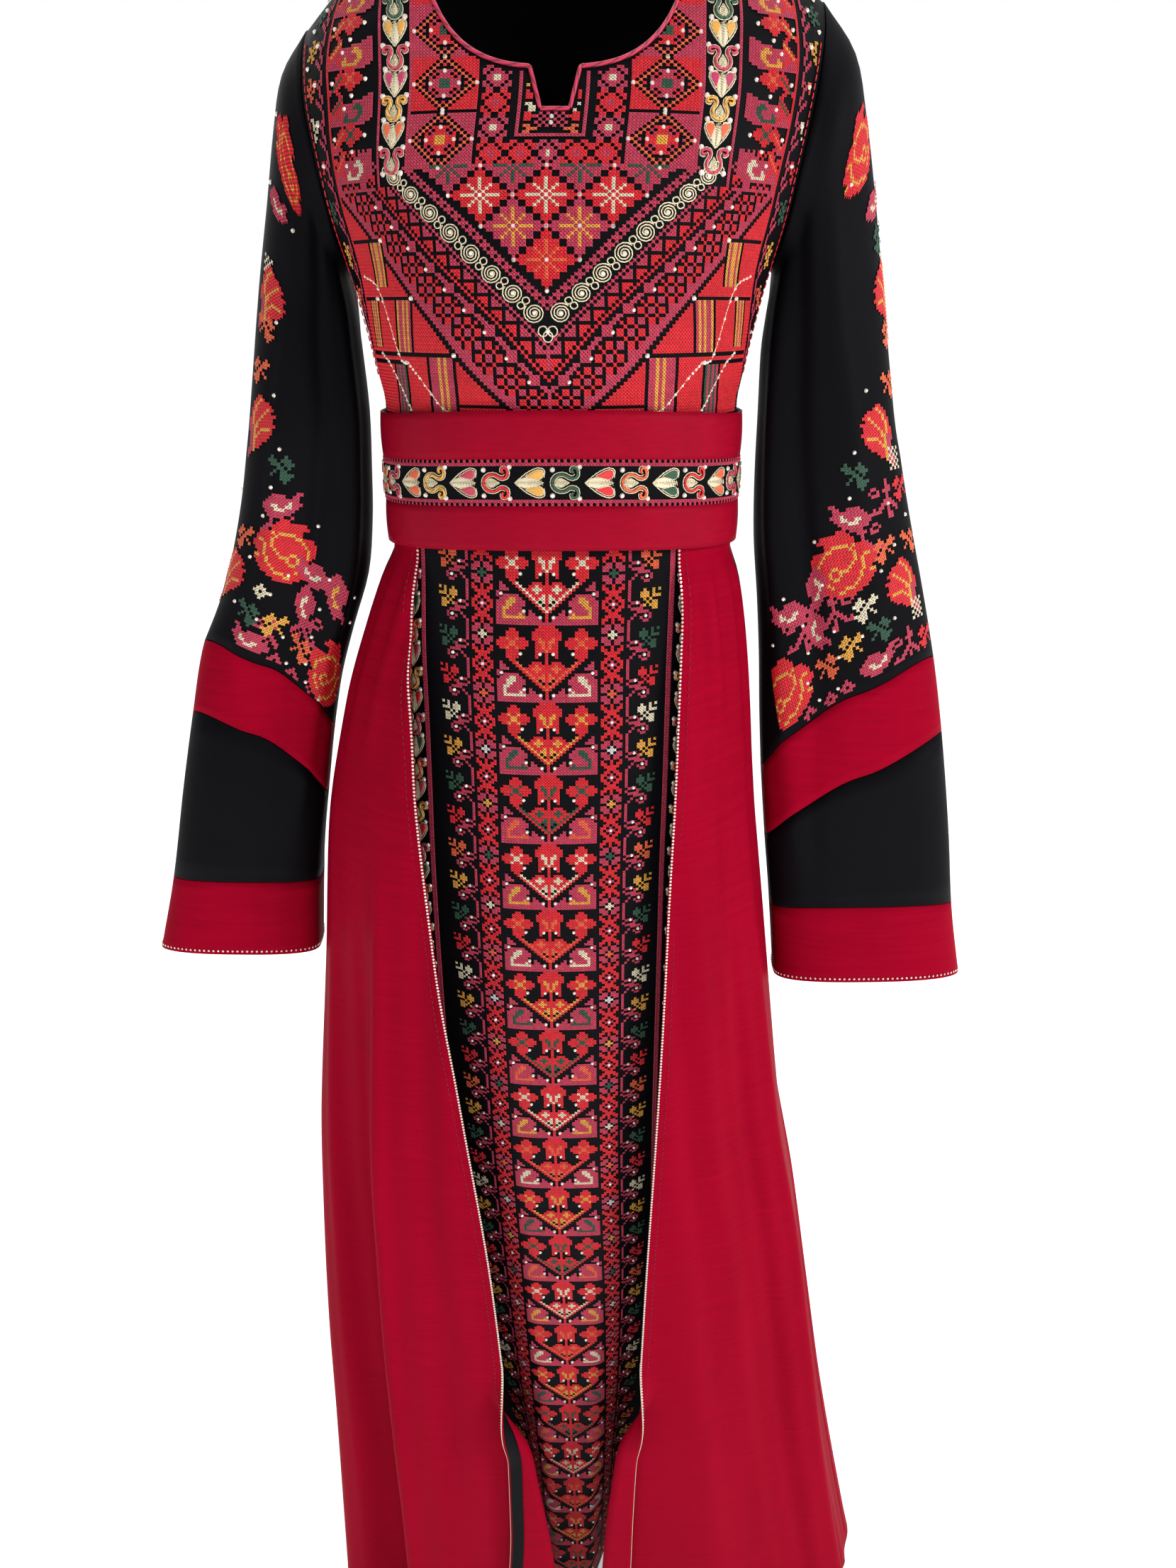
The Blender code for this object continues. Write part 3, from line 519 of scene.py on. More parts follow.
def rolled_edge(side, z):
    """Points from where the overskirt's front starts to turn, out to its free edge, at one height."""
    sign = 1.0 if side == "left" else -1.0
    edge_x = read(FRONT_EDGES, side + "_edge_x", z)
    lap = read(FRONT_EDGES, side + "_lap", z)
    turned = math.pi * smoothstep((ROLL_START_Z - z) / (ROLL_START_Z - ROLL_FULL_Z))
    reach, rise, heading = 0.0, 0.0, 0.0
    offsets = [(0.0, 0.0)]
    for step, count, turn in ((ROLL_TURN / ROLL_STEPS, ROLL_STEPS, turned / ROLL_STEPS),
                              (lap / LAP_STEPS, LAP_STEPS, 0.0)):
        for _ in range(count):
            middle = heading + 0.5 * turn
            reach += step * math.cos(middle)
            rise += step * math.sin(middle)
            heading += turn
            offsets.append((reach, rise))
    start_x = edge_x + sign * offsets[-1][0]
    points = []
    for along, out in offsets:
        angle = overskirt_angle(start_x - sign * along, z)
        point = overskirt_point(angle, z)
        outward = Vector((point.x, 2.0 * point.y, 0.0)).normalized()
        points.append(point + outward * out)
    return overskirt_angle(start_x, z), points


def belt_point(angle, z, proud):
    """A point round the waist at a nominal height; the belt sits lower at the sides."""
    out = LAYER_GAP + BELT_WALL + proud
    sizes = [read(TORSO, name, BELT_TOP_Z) + out for name in ("half_width", "front", "back")]
    point = ring_point(angle, *sizes)
    point.z = z - BELT_SIDE_DROP * math.sin(angle) ** 2
    return point


def sleeve_point(side, turn, z):
    """A level section of the sleeve; turn is 0 at the outer side and grows towards the front."""
    outer_x, inner_x, front, back = (read(SLEEVE[side], name, z)
                                     for name in ("outer_x", "inner_x", "front", "back"))
    depth = front if math.sin(turn) > 0.0 else back
    x = 0.5 * (outer_x + inner_x) + 0.5 * (outer_x - inner_x) * signed_power(math.cos(turn), SLEEVE_POWER)
    return Vector((x if side == "left" else -x, -depth * signed_power(math.sin(turn), SLEEVE_POWER), z))


def armhole_point(side, turn):
    """The armhole seam, from the shoulder point (turn 0) down the front to the underarm and up the back."""
    sign = 1.0 if side == "left" else -1.0
    tip_z = SHOULDER_TIP[side][1]
    z = 0.5 * (tip_z + ARMPIT_Z) + 0.5 * (tip_z - ARMPIT_Z) * math.cos(turn)
    angle = torso_angle(armhole_x(side, z), z)
    if math.sin(turn) < 0.0:
        angle = math.pi - angle
    point = torso_point(sign * angle, z)
    point.x += sign * (SEAM_GAP + ARMHOLE_CLEARANCE)
    return point


def cap_point(side, turn, row):
    cap = SLEEVE_CAP[side]
    top = Vector((cap["top_x"][row], 0.0, cap["top_z"][row]))
    under = Vector((cap["under_x"][row], 0.0, cap["under_z"][row]))
    depth = cap["front" if math.sin(turn) > 0.0 else "back"][row]
    point = 0.5 * (top + under) + 0.5 * (top - under) * math.cos(turn)
    power = RING_POWER + (SLEEVE_POWER - RING_POWER) * row / (len(cap["top_x"]) - 1)
    point.y = -depth * signed_power(math.sin(turn), power)
    if side == "right":
        point.x = -point.x
    return point


def seam_z(side, seam, turn):
    """Height of a seam round the sleeve; in front it runs higher than straight across."""
    outer_z, inner_z, lift = SLEEVE_SEAMS[side][seam]
    return outer_z + (inner_z - outer_z) * 0.5 * (1.0 - math.cos(turn)) + lift * max(math.sin(turn), 0.0)


def neckline(turns, drop):
    """Points along one half of a neckline, for turns from the middle (0) to the shoulder seam (90)."""
    power = 2.0 / NECK_SQUARENESS
    points = []
    for turn in turns:
        across, down = math.sin(math.radians(turn)), max(math.cos(math.radians(turn)), 0.0)
        points.append((NECK_HALF_WIDTH * across ** power, -drop * down ** power if turn < 90.0 else 0.0))
    return points


def front_neck():
    """The front half outline: half the notch's floor, its side, and the neckline up to the shoulder."""
    notch = [(0.0, NOTCH_BOTTOM_Z), (NOTCH_BOTTOM_HALF, NOTCH_BOTTOM_Z)]
    return notch + neckline([NOTCH_TURN] + NECK_FRONT_TURNS, NECK_DROP_FRONT)


def back_neck():
    return neckline(NECK_BACK_TURNS, NECK_DROP_BACK)


def bodice_top(back):
    """The upper ends of the bodice's columns, from the right shoulder's tip to the left one's."""
    neck = back_neck() if back else front_neck()
    halves = {}
    for side, sign in SIDES:
        width = SHOULDER_TIP[side][0] - NECK_HALF_WIDTH
        shoulder = [sign * (NECK_HALF_WIDTH + width * share) for share in SHOULDER_SHARES]
        halves[side] = [(sign * x, z) for x, z in neck] + [(x, shoulder_z(x)) for x in shoulder]
    return halves["right"][:0:-1] + halves["left"]


# ---- finishes


def new_finish(name, colour, roughness):
    """A material with its shader, ready for nodes: the material, its node tree and its shader."""
    made = bpy.data.materials.new(name)
    made.use_nodes = True
    shader = made.node_tree.nodes["Principled BSDF"]
    shader.inputs["Base Color"].default_value = (*colour, 1.0)
    shader.inputs["Roughness"].default_value = roughness
    made.diffuse_color = (*colour, 1.0)
    return made, made.node_tree, shader


def feed(tree, socket, value):
    """Gives a node's input a number, a colour or another node's output."""
    if isinstance(value, bpy.types.NodeSocket):
        tree.links.new(value, socket)
    else:
        socket.default_value = (*value, 1.0) if socket.type == "RGBA" else value


def add_node(tree, kind, inputs, **settings):
    """A node with its settings, and its inputs by name or place."""
    node = tree.nodes.new(kind)
    for name, value in settings.items():
        setattr(node, name, value)
    for name, value in inputs.items():
        feed(tree, node.inputs[name], value)
    return node


def maths(tree, operation, *values):
    return add_node(tree, "ShaderNodeMath", dict(enumerate(values)), operation=operation).outputs[0]


def object_place(tree):
    return add_node(tree, "ShaderNodeTexCoord", {}).outputs["Object"]


def chart_axes(tree):
    """The two axes of the piece's own texture coordinates."""
    flat = add_node(tree, "ShaderNodeTexCoord", {}).outputs["UV"]
    axes = add_node(tree, "ShaderNodeSeparateXYZ", {"Vector": flat}).outputs
    return axes["X"], axes["Y"]


def thread_colour(tree):
    return add_node(tree, "ShaderNodeAttribute", {}, attribute_name="thread").outputs["Color"]


def stretched(tree, vector, scale):
    return add_node(tree, "ShaderNodeMapping", {"Vector": vector, "Scale": scale}).outputs["Vector"]


def noise(tree, vector, scale, detail=2.0):
    return add_node(tree, "ShaderNodeTexNoise",
                    {"Vector": vector, "Scale": scale, "Detail": detail}).outputs["Fac"]


def mixed(tree, factor, first, second):
    """A colour between two; a Mix node keeps its colours in places 6 and 7."""
    inputs = {"Factor": factor, 6: first, 7: second}
    return add_node(tree, "ShaderNodeMix", inputs, data_type="RGBA").outputs[2]


def bump(tree, shader, height, distance, strength):
    node = add_node(tree, "ShaderNodeBump", {"Height": height, "Distance": distance, "Strength": strength})
    feed(tree, shader.inputs["Normal"], node.outputs["Normal"])


def crepe_finish():
    """Black crepe: pebbled and nearly matt, with painted sheen: a little lighter in soft patches and on the
    pebbles' tops, where the nap catches light.
    """
    made, tree, shader = new_finish("black_crepe_cloth", CLOTH_BLACK, 0.62)
    place = object_place(tree)
    pebble = noise(tree, place, 1400.0, 3.0)
    drift = noise(tree, place, 9.0)
    # Painted sheen: soft patches and the pebbles' tops go lighter, where the nap catches light.
    tint = maths(tree, "MULTIPLY", drift, maths(tree, "ADD", pebble, 0.4))
    feed(tree, shader.inputs["Base Color"], mixed(tree, tint, NAP_DARK, NAP_PAINTED_SHEEN))
    shader.inputs["Specular IOR Level"].default_value = 0.06
    bump(tree, shader, pebble, 0.00025, 0.5)
    return made


def satin_finish(name, slub, shine):
    """Crimson satin: fine slubs along the weft, a soft sheen, and slight puckers along the grain, with
    painted shade in the puckers' hollows.
    """
    made, tree, shader = new_finish(name, SATIN_RED, 0.4)
    place = object_place(tree)
    slubs = noise(tree, stretched(tree, place, slub), 260.0, 4.0)
    puckers = noise(tree, stretched(tree, place, (34.0, 34.0, 5.0)), 1.0)
    # The slubs' own tone, plus painted shade: the colour darkens in the puckers' hollows and lightens on
    # their tops.
    tint = maths(tree, "ADD", maths(tree, "MULTIPLY", slubs, 0.7), maths(tree, "MULTIPLY", puckers, 0.45))
    feed(tree, shader.inputs["Base Color"], mixed(tree, tint, SATIN_DEEP_AND_SHADE, SATIN_RED))
    shader.inputs["Specular IOR Level"].default_value = shine
    feed(tree, shader.inputs["Specular Tint"], SATIN_GLINT)
    feed(tree, shader.inputs["Roughness"], maths(tree, "MULTIPLY_ADD", slubs, 0.18, 0.46))
    height = maths(tree, "ADD", maths(tree, "MULTIPLY", slubs, 0.12), puckers)
    bump(tree, shader, height, 0.0011, 0.55)
    return made


# ---- cloth shells


def own(piece, finish, slot):
    """Gives a piece its finish and lets it ride on the garment; the slot is not used."""
    piece.data.materials.append(finish)
    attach(piece, "root")
    return piece


def new_piece(name, points, faces, finish, slot):
    mesh = bpy.data.meshes.new(name)
    mesh.from_pydata(np.reshape(points, (-1, 3)).tolist(), [], faces)
    mesh.shade_smooth()
    piece = bpy.data.objects.new(name, mesh)
    bpy.context.scene.collection.objects.link(piece)
    return own(piece, finish, slot)


def thicken(piece, thickness, offset):
    """Gives a sheet its wall: offset -1 is inwards and 0 to both sides."""
    bpy.ops.object.select_all(action="DESELECT")
    piece.select_set(True)
    bpy.context.view_layer.objects.active = piece
    wall = piece.modifiers.new("wall", "SOLIDIFY")
    wall.thickness, wall.offset = thickness, offset
    bpy.ops.object.modifier_apply(modifier=wall.name)


def point_grid(rows):
    return np.array([[tuple(point) for point in row] for row in rows])


def unit(vectors):
    """Each vector at length one."""
    return vectors / np.maximum(np.linalg.norm(vectors, axis=-1, keepdims=True), 1e-12)


def grid_faces(height, width, closed):
    index = np.arange(height * width).reshape(height, width)
    after = np.roll(index, -1, axis=1)
    faces = np.stack([index[:-1], after[:-1], after[1:], index[1:]], axis=-1)
    return faces[:, :width if closed else width - 1].reshape(-1, 4)


def shell(node, rows, cloth, inside, closed=False):
    """Cloth over a grid of outer points, thickened towards the inside; it stands for its solid.

    A cloth is its finish, its slot and the thickness of its wall.
    """
    finish, slot, thickness = cloth
    grid = point_grid(rows)
    faces = grid_faces(len(grid), len(grid[0]), closed)
    corners = grid.reshape(-1, 3)[faces]
    normals = np.cross(corners[:, 2] - corners[:, 0], corners[:, 3] - corners[:, 1])
    if (normals * (corners.mean(axis=1) - np.array(inside))).sum() < 0.0:
        faces = faces[:, ::-1]
    piece = new_piece(node + "_cloth", grid, faces.tolist(), finish, slot)
    thicken(piece, thickness, -1.0)
    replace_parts(piece, node)


def smooth_rows(rows, count):
    """More rows on a smooth curve through these ones, column by column."""
    known = point_grid(rows)
    padded = np.concatenate([2.0 * known[:1] - known[1:2], known, 2.0 * known[-1:] - known[-2:-1]])
    finer = []
    for place in np.linspace(0.0, len(known) - 1.0, count + 1):
        k = min(int(place), len(known) - 2)
        t = place - k
        before, start, end, after = padded[k:k + 4]
        finer.append(0.5 * (2.0 * start + (end - before) * t
                            + (2.0 * before - 5.0 * start + 4.0 * end - after) * t * t
                            + (3.0 * start - before - 3.0 * end + after) * t ** 3))
    return np.array(finer)


def bodice_rows(back):
    """The bodice's columns from the waist seam up to the neckline and the shoulder seam."""
    tops = bodice_top(back)
    count = ROWS_OF_CLOTH["bodice"]
    rows = []
    for step in range(-ROWS_UNDER_BELT, count + 1):
        up = 1.0 - (1.0 - max(step, 0) / count) ** ROWS_TOWARDS_NECK
        row = []
        for place, (x, top_z) in enumerate(tops):
            across = 2.0 * place / (len(tops) - 1) - 1.0
            tip_x, tip_z = SHOULDER_TIP[side_name(x)]
            side_z = BELT_TOP_Z + (tip_z - BELT_TOP_Z) * up
            seam = torso_angle(armhole_x(side_name(x), side_z), side_z)
            plain = 0.5 * math.pi + (torso_angle(tip_x, tip_z) - 0.5 * math.pi) * up
            z = BELT_TOP_Z + (top_z - BELT_TOP_Z) * up
            if step < 0:
                z = BELT_TOP_Z + (WAIST_SEAM_Z - BELT_TOP_Z) * -step / ROWS_UNDER_BELT
            waist_angle = 0.5 * math.pi * abs(across) ** COLUMNS_TOWARDS_SIDE
            angle = waist_angle + (torso_angle(x, top_z) - waist_angle) * up
            angle += (seam - plain) * abs(across) ** 3
            angle = math.copysign(min(angle, 0.5 * math.pi), across)
            point = torso_point(math.pi - angle if back else angle, z)
            at_shoulder = abs(x) > 0.98 * NECK_HALF_WIDTH
            near_seam = max(abs(across), up if at_shoulder else 0.0) ** 8
            point.y += (1.0 if back else -1.0) * (SEAM_GAP + EDGE_TUCK) * near_seam
            row.append(point)
        rows.append(row)
    return rows


def sleeve_crease(side, turn, z):
    """How far the sleeve's cloth stands out of its plain section."""
    return short_folds(SLEEVE_CREASES[side], math.degrees(turn), z, 0.7)


def creased(side, rows):
    """Sleeve rows with their creases, moved out from the middle of each section."""
    rows = point_grid(rows)
    out = unit((rows - rows.mean(axis=1, keepdims=True)) * (1.0, 1.0, 0.0))
    heights = [[sleeve_crease(side, turn, point[2]) for point, turn in zip(row, SLEEVE_TURNS)]
               for row in rows]
    return rows + out * np.array(heights)[..., None]


def sleeve_upper_rows(side):
    cap_end = SLEEVE[side]["z"][0]
    rows = [[armhole_point(side, turn) for turn in SLEEVE_TURNS]]
    for row in range(len(SLEEVE_CAP[side]["top_x"])):
        rows.append([cap_point(side, turn, row) for turn in SLEEVE_TURNS])
    ends = [seam_z(side, "band_top", turn) + 0.5 * SLEEVE_SEAM_GAP for turn in SLEEVE_TURNS]
    for down in np.linspace(0.0, 1.0, ROWS_BELOW_CAP):
        rows.append([sleeve_point(side, turn, cap_end + (end - cap_end) * down)
                     for turn, end in zip(SLEEVE_TURNS, ends)])
    return creased(side, smooth_rows(rows, ROWS_OF_CLOTH["sleeve"]))


def sleeve_tube_rows(side, upper, lower):
    rows = []
    for down in np.linspace(0.0, 1.0, ROWS_OF_CLOTH["band"] + 1):
        row = []
        for turn in SLEEVE_TURNS:
            top = seam_z(side, upper, turn) - 0.5 * SLEEVE_SEAM_GAP
            bottom = seam_z(side, lower, turn) + 0.5 * SLEEVE_SEAM_GAP
            row.append(sleeve_point(side, turn, top + (bottom - top) * down))
        rows.append(row)
    return creased(side, rows)


def make_sleeve(side, sign, crepe, satin):
    shell("sleeve_upper_" + side, sleeve_upper_rows(side), crepe, (0.175 * sign, 0.0, -0.12), True)
    for part, upper, lower, cloth in (("sleeve_band_", "band_top", "band_bottom", satin),
                                      ("sleeve_lower_", "band_bottom", "cuff_top", crepe),
                                      ("cuff_band_", "cuff_top", "hem", satin)):
        rows = sleeve_tube_rows(side, upper, lower)
        shell(part + side, rows, cloth, rows.mean(axis=(0, 1)), True)


def belt_rows(top_z, height, proud):
    rows = []
    for share in np.linspace(0.0, 1.0, ROWS_OF_CLOTH["belt"] + 1):
        z = top_z - (height - SEAM_GAP) * share
        bulge = BELT_BULGE * math.sin(math.pi * share)
        rows.append([belt_point(2.0 * math.pi * k / BELT_TURNS, z, proud + bulge) for k in range(BELT_TURNS)])
    return rows


def skirt_heights(hem):
    shares = np.linspace(0.0, 1.0, ROWS_OF_CLOTH["skirt"] + 1) ** 1.15
    return [WAIST_SEAM_Z - SEAM_GAP + (hem - WAIST_SEAM_Z + SEAM_GAP) * share for share in shares]


def make_underskirt(crepe):
    side_seam = 0.5 * math.pi
    for panel, first, last in (("front", -side_seam, side_seam), ("back", side_seam, 3.0 * side_seam)):
        steps = UNDERSKIRT_STEPS[panel]
        edge = (SEAM_GAP + EDGE_TUCK) / read(UNDERSKIRT, "half_width", WAIST_SEAM_Z)
        rows = [[underskirt_point(first + 0.5 * edge + (last - first - edge) * k / steps, z)
                 for k in range(steps + 1)] for z in skirt_heights(UNDERSKIRT_HEM_Z)]
        shell("underskirt_" + panel, rows, crepe, (0.0, 0.0, WAIST_SEAM_Z))


def make_overskirt(satin):
    waist = (0.0, 0.0, WAIST_SEAM_Z)
    for side, sign in SIDES:
        steps = OVERSKIRT_STEPS["front"]
        seam = sign * (SIDE_SEAM - (SEAM_GAP + EDGE_TUCK) / read(OVERSKIRT, "half_width", WAIST_SEAM_Z))
        rows = []
        for z in skirt_heights(OVERSKIRT_HEM_Z):
            start, edge = rolled_edge(side, z)
            rows.append([overskirt_point(seam + (start - seam) * k / steps, z) for k in range(steps)] + edge)
        shell("overskirt_front_" + side, rows, satin, waist)
    steps = OVERSKIRT_STEPS["back"]
    span = 2.0 * (math.pi - SIDE_SEAM)
    rows = [[overskirt_point(SIDE_SEAM + span * k / steps, z) for k in range(steps + 1)]
            for z in skirt_heights(OVERSKIRT_HEM_Z)]
    shell("overskirt_back", rows, satin, waist)


def make_cloth(crepe, satin, belt_satin, strip):
    shell("bodice_front", bodice_rows(False), crepe, CHEST)
    shell("bodice_back", bodice_rows(True), crepe, CHEST)
    for side, sign in SIDES:
        make_sleeve(side, sign, crepe, satin)
    top_z = BELT_TOP_Z
    for name, height, proud, cloth in (("belt_upper", BELT_UPPER_HEIGHT, 0.0006, belt_satin),
                                       ("belt_centre", BELT_CENTRE_HEIGHT, 0.0, strip),
                                       ("belt_lower", BELT_LOWER_HEIGHT, 0.0004, belt_satin)):
        shell(name, belt_rows(top_z, height, proud), cloth, (0.0, 0.0, top_z), True)
        top_z -= height
    make_underskirt(crepe)
    make_overskirt(satin)


# ---- canvases and cross-stitch


def arc_lengths(points, start):
    """Distances along a line of points, counted from the point at this place in it."""
    steps = np.linalg.norm(np.diff(points, axis=0), axis=1)
    arcs = np.concatenate([[0.0], np.cumsum(steps)])
    return arcs - arcs[start]


class Canvas:
    """Cloth counted in stitches: columns across from its middle line, rows downwards.

    A stitch is centred on whole numbers, so its corners lie half a column and half a row away.
    """

    def __init__(self, cloth, grid, middle, levels, across, first_row, last_column, inside):
        self.columns = np.arange(-last_column, last_column + 1) - 0.5
        self.first_row = first_row
        lines = []
        for row, level in enumerate(levels):
            wanted = np.array([across(column, first_row + row) for column in self.columns])
            k = min(max(int(level), 0), len(grid) - 2)
            line = grid[k] + (grid[k + 1] - grid[k]) * (level - k)
            arcs = arc_lengths(line, middle)
            lines.append(np.stack([np.interp(wanted, arcs, line[:, axis]) for axis in range(3)], axis=-1))
        self.points = np.array(lines)
        surface = BVHTree.FromObject(bpy.data.objects[cloth], bpy.context.evaluated_depsgraph_get())
        for place in np.ndindex(self.points.shape[:2]):
            nearest, _, _, away = surface.find_nearest(Vector(self.points[place]))
            if away < CLOTH_REACH:
                self.points[place] = nearest
        normals = unit(np.cross(np.gradient(self.points, axis=0), np.gradient(self.points, axis=1)))
        self.normals = normals if (normals * (self.points - np.array(inside))).sum() > 0.0 else -normals

    def sample(self, columns, rows):
        """Points of the cloth at these columns and rows, and which way is out of it there."""
        columns = np.clip(np.asarray(columns, float) - self.columns[0], 0.0, len(self.columns) - 1.001)
        rows = np.clip(np.asarray(rows, float) + 0.5 - self.first_row, 0.0, len(self.points) - 1.001)
        column, row = columns.astype(int), rows.astype(int)
        across, down = (columns - column)[..., None], (rows - row)[..., None]
        blended = []
        for field in (self.points, self.normals):
            upper = field[row, column] * (1.0 - across) + field[row, column + 1] * across
            lower = field[row + 1, column] * (1.0 - across) + field[row + 1, column + 1] * across
            blended.append(upper * (1.0 - down) + lower * down)
        return blended[0], unit(blended[1])

    def at(self, columns, rows, lift=0.0):
        """Points at these columns and rows, lifted off the cloth."""
        points, normals = self.sample(columns, rows)
        return points + normals * np.asarray(lift, float)[..., None]

    def nearest(self, x, z):
        """The column and row nearest to a place on the front half, seen from the front."""
        away = np.hypot(self.points[:, :, 0] - x, self.points[:, :, 2] - z) + (self.points[:, :, 1] > 0.0)
        row, column = np.unravel_index(np.argmin(away), away.shape)
        return int(round(self.columns[column] + 0.5)), int(row) + self.first_row


def counted_rows(line, pitch):
    """Where the rows of stitches come on a line down the cloth, as fractions of its points."""
    down = arc_lengths(line, 0)
    return np.interp(np.arange(int(down[-1] / pitch) + 1) * pitch, down, np.arange(len(line)))


def kept(chart, canvas, belongs):
    """The chart's stitches whose middle lies on the cloth."""
    cells = list(chart)
    middles = canvas.at([c for c, r in cells], [r for c, r in cells])
    return {cell: chart[cell] for cell, point in zip(cells, middles) if belongs(point)}


def open_with_faces(mesh, chosen):
    """Edit mode with just these faces selected."""
    bpy.context.tool_settings.mesh_select_mode = (False, False, True)
    mesh.vertices.foreach_set("select", np.zeros(len(mesh.vertices), bool))
    mesh.edges.foreach_set("select", np.zeros(len(mesh.edges), bool))
    mesh.polygons.foreach_set("select", chosen)
    bpy.ops.object.mode_set(mode="EDIT")


def cross_stitch(name, canvas, chart, finish):
    """One low pyramid of thread for each charted stitch, laid on the canvas."""
    columns = [c for c, r in chart]
    rows = [r for c, r in chart]
    first_column, first_row = min(columns), min(rows)
    width, height = max(columns) - first_column + 1, max(rows) - first_row + 1
    bpy.ops.object.select_all(action="DESELECT")
    bpy.ops.mesh.primitive_grid_add(x_subdivisions=width, y_subdivisions=height, size=1.0)
    piece = bpy.context.object
    piece.name = name
    mesh = piece.data
    mesh.name = name
    centres = np.zeros(len(mesh.polygons) * 3)
    mesh.polygons.foreach_get("center", centres)
    centres = centres.reshape(-1, 3)
    cells = np.stack([first_column + np.floor((centres[:, 0] + 0.5) * width),
                      first_row + np.floor((0.5 - centres[:, 1]) * height)], axis=-1).astype(int)
    thread = mesh.attributes.new("thread", "FLOAT_COLOR", "FACE")
    colours = np.zeros((len(cells), 4), np.float32)
    bare = np.zeros(len(cells), bool)
    for place, cell in enumerate(map(tuple, cells)):
        letter = chart.get(cell)
        if letter not in THREADS:
            bare[place] = True
            continue
        shade = random.uniform(*THREAD_SHADES)
        colours[place] = (*(value * shade for value in THREADS[letter]), 1.0)
    thread.data.foreach_set("color", colours.ravel())
    open_with_faces(mesh, bare)
    bpy.ops.mesh.delete(type="FACE")
    bpy.ops.mesh.select_all(action="SELECT")
    bpy.ops.mesh.poke(offset=STITCH_RISE)
    bpy.ops.object.mode_set(mode="OBJECT")
    flat = np.zeros(len(mesh.vertices) * 3)
    mesh.vertices.foreach_get("co", flat)
    flat = flat.reshape(-1, 3)
    charted = np.stack([first_column - 0.5 + (flat[:, 0] + 0.5) * width,
                        first_row - 0.5 + (0.5 - flat[:, 1]) * height], axis=-1)
    laid = canvas.at(charted[:, 0], charted[:, 1], STITCH_LIFT + flat[:, 2])
    mesh.vertices.foreach_set("co", laid.ravel())
    corners = np.zeros(len(mesh.loops), np.int32)
    mesh.loops.foreach_get("vertex_index", corners)
    mesh.uv_layers[0].uv.foreach_set("vector", (charted[corners] + 0.5).ravel().astype(np.float32))
    mesh.update()
    own(piece, finish, "embroidery_thread")


def stitch_finish():
    """Cotton thread: two crossed legs in each stitch, the upper one on top, with painted shade: the lower leg
    and the sides of each leg are darker, and the gaps are dark where the black cloth shows.
    """
    made, tree, shader = new_finish("cross_stitch_thread", THREADS["R"], 0.55)
    across, down = (maths(tree, "FRACT", axis) for axis in chart_axes(tree))
    legs = []
    for apart, height in ((maths(tree, "SUBTRACT", across, down), 1.0),
                          (maths(tree, "SUBTRACT", maths(tree, "ADD", across, down), 1.0), 0.78)):
        fall = maths(tree, "MULTIPLY", maths(tree, "ABSOLUTE", apart), LEG_NARROWNESS)
        legs.append(maths(tree, "SUBTRACT", height, maths(tree, "POWER", fall, 2.0)))
    cross = maths(tree, "MAXIMUM", maths(tree, "MAXIMUM", legs[0], legs[1]), 0.0)
    ply = noise(tree, object_place(tree), 2600.0, 1.0)
    # Painted shade: the colour follows each leg's height, darkest at its sides and lower on the under leg;
    # the bare gaps show the black cloth.
    shade = maths(tree, "ADD", maths(tree, "MULTIPLY", cross, 0.8),
                  maths(tree, "ADD", maths(tree, "MULTIPLY", ply, 0.3), 0.1))
    feed(tree, shader.inputs["Base Color"], mixed(tree, shade, (0.004, 0.002, 0.003), thread_colour(tree)))
    shader.inputs["Specular IOR Level"].default_value = 0.35
    bump(tree, shader, maths(tree, "ADD", cross, maths(tree, "MULTIPLY", ply, 0.3)), 0.0005, 0.8)
    return made


def mirrored(half):
    """A chart drawn by its left half, whose last column is the middle one."""
    return [line + line[-2::-1] for line in half]


def paint(chart, art, column, row, colours=None, flip=False):
    """Puts a drawn chart's stitches with its top left at this column and row."""
    for down, line in enumerate(art):
        for across, letter in enumerate(line[::-1] if flip else line):
            letter = (colours or {}).get(letter, letter)
            if letter != ".":
                chart[(column + across, row + down)] = letter


def fill(chart, columns, rows, letter):
    for column in range(columns[0], columns[1] + 1):
        for row in range(rows[0], rows[1] + 1):
            if letter == ".":
                chart.pop((column, row), None)
            else:
                chart[(column, row)] = letter


# ---- charts

# Each chart has a word for each row of stitches: capitals are threads, small letters take the thread that
# suits the place, and a dot is left bare.
FLOWER = """
....RR....
...RRRR...
.RRaRRaRR.
RRRRaaRRRR
RRRRaaRRRR
.RRaRRaRR.
...RRRR...
....RR....
""".split()
BAND_CROSS = """
.ff..ff.
ff.ff.ff
f.ffff.f
.ffaaff.
.ffaaff.
f.ffff.f
ff.ff.ff
.ff..ff.
""".split()
PAISLEY_BOX = """
................PP
..............PPPP
..........PPPPPPPP
......PPPPPaaPPPPP
...PPPPPPPaaaaPPPP
PPPPPPPPPPPPaaPPPP
PPPPPPPaPPPPaaPPPP
PPPPPPaaPPPaaPPPPP
PPPPPaaaaaaaPPPPP.
PPPPPPPPPPPPPPP...
""".split()
# The stepped flowers outside the paisleys, with their running diagonal.
STEPS = """
...... R..... RR.... aRR... RaR... RRaR.. .RRa.. ..RRaR .RR..R RR.... aR.... RaR... RRaR.. .RRaR.
..RRaR .RR.RR RR...R R.....
""".split()
PLACKET_MOTIFS = [art.split("/") for art in """
GGGG/.GG. RR../RRR./RR.. .YYY/YYY./.Y.. RR../RRR./RR.. CCC./.CCC/.CC. RR../RRR./RR.. OO../.OOO/OO..
""".split()]
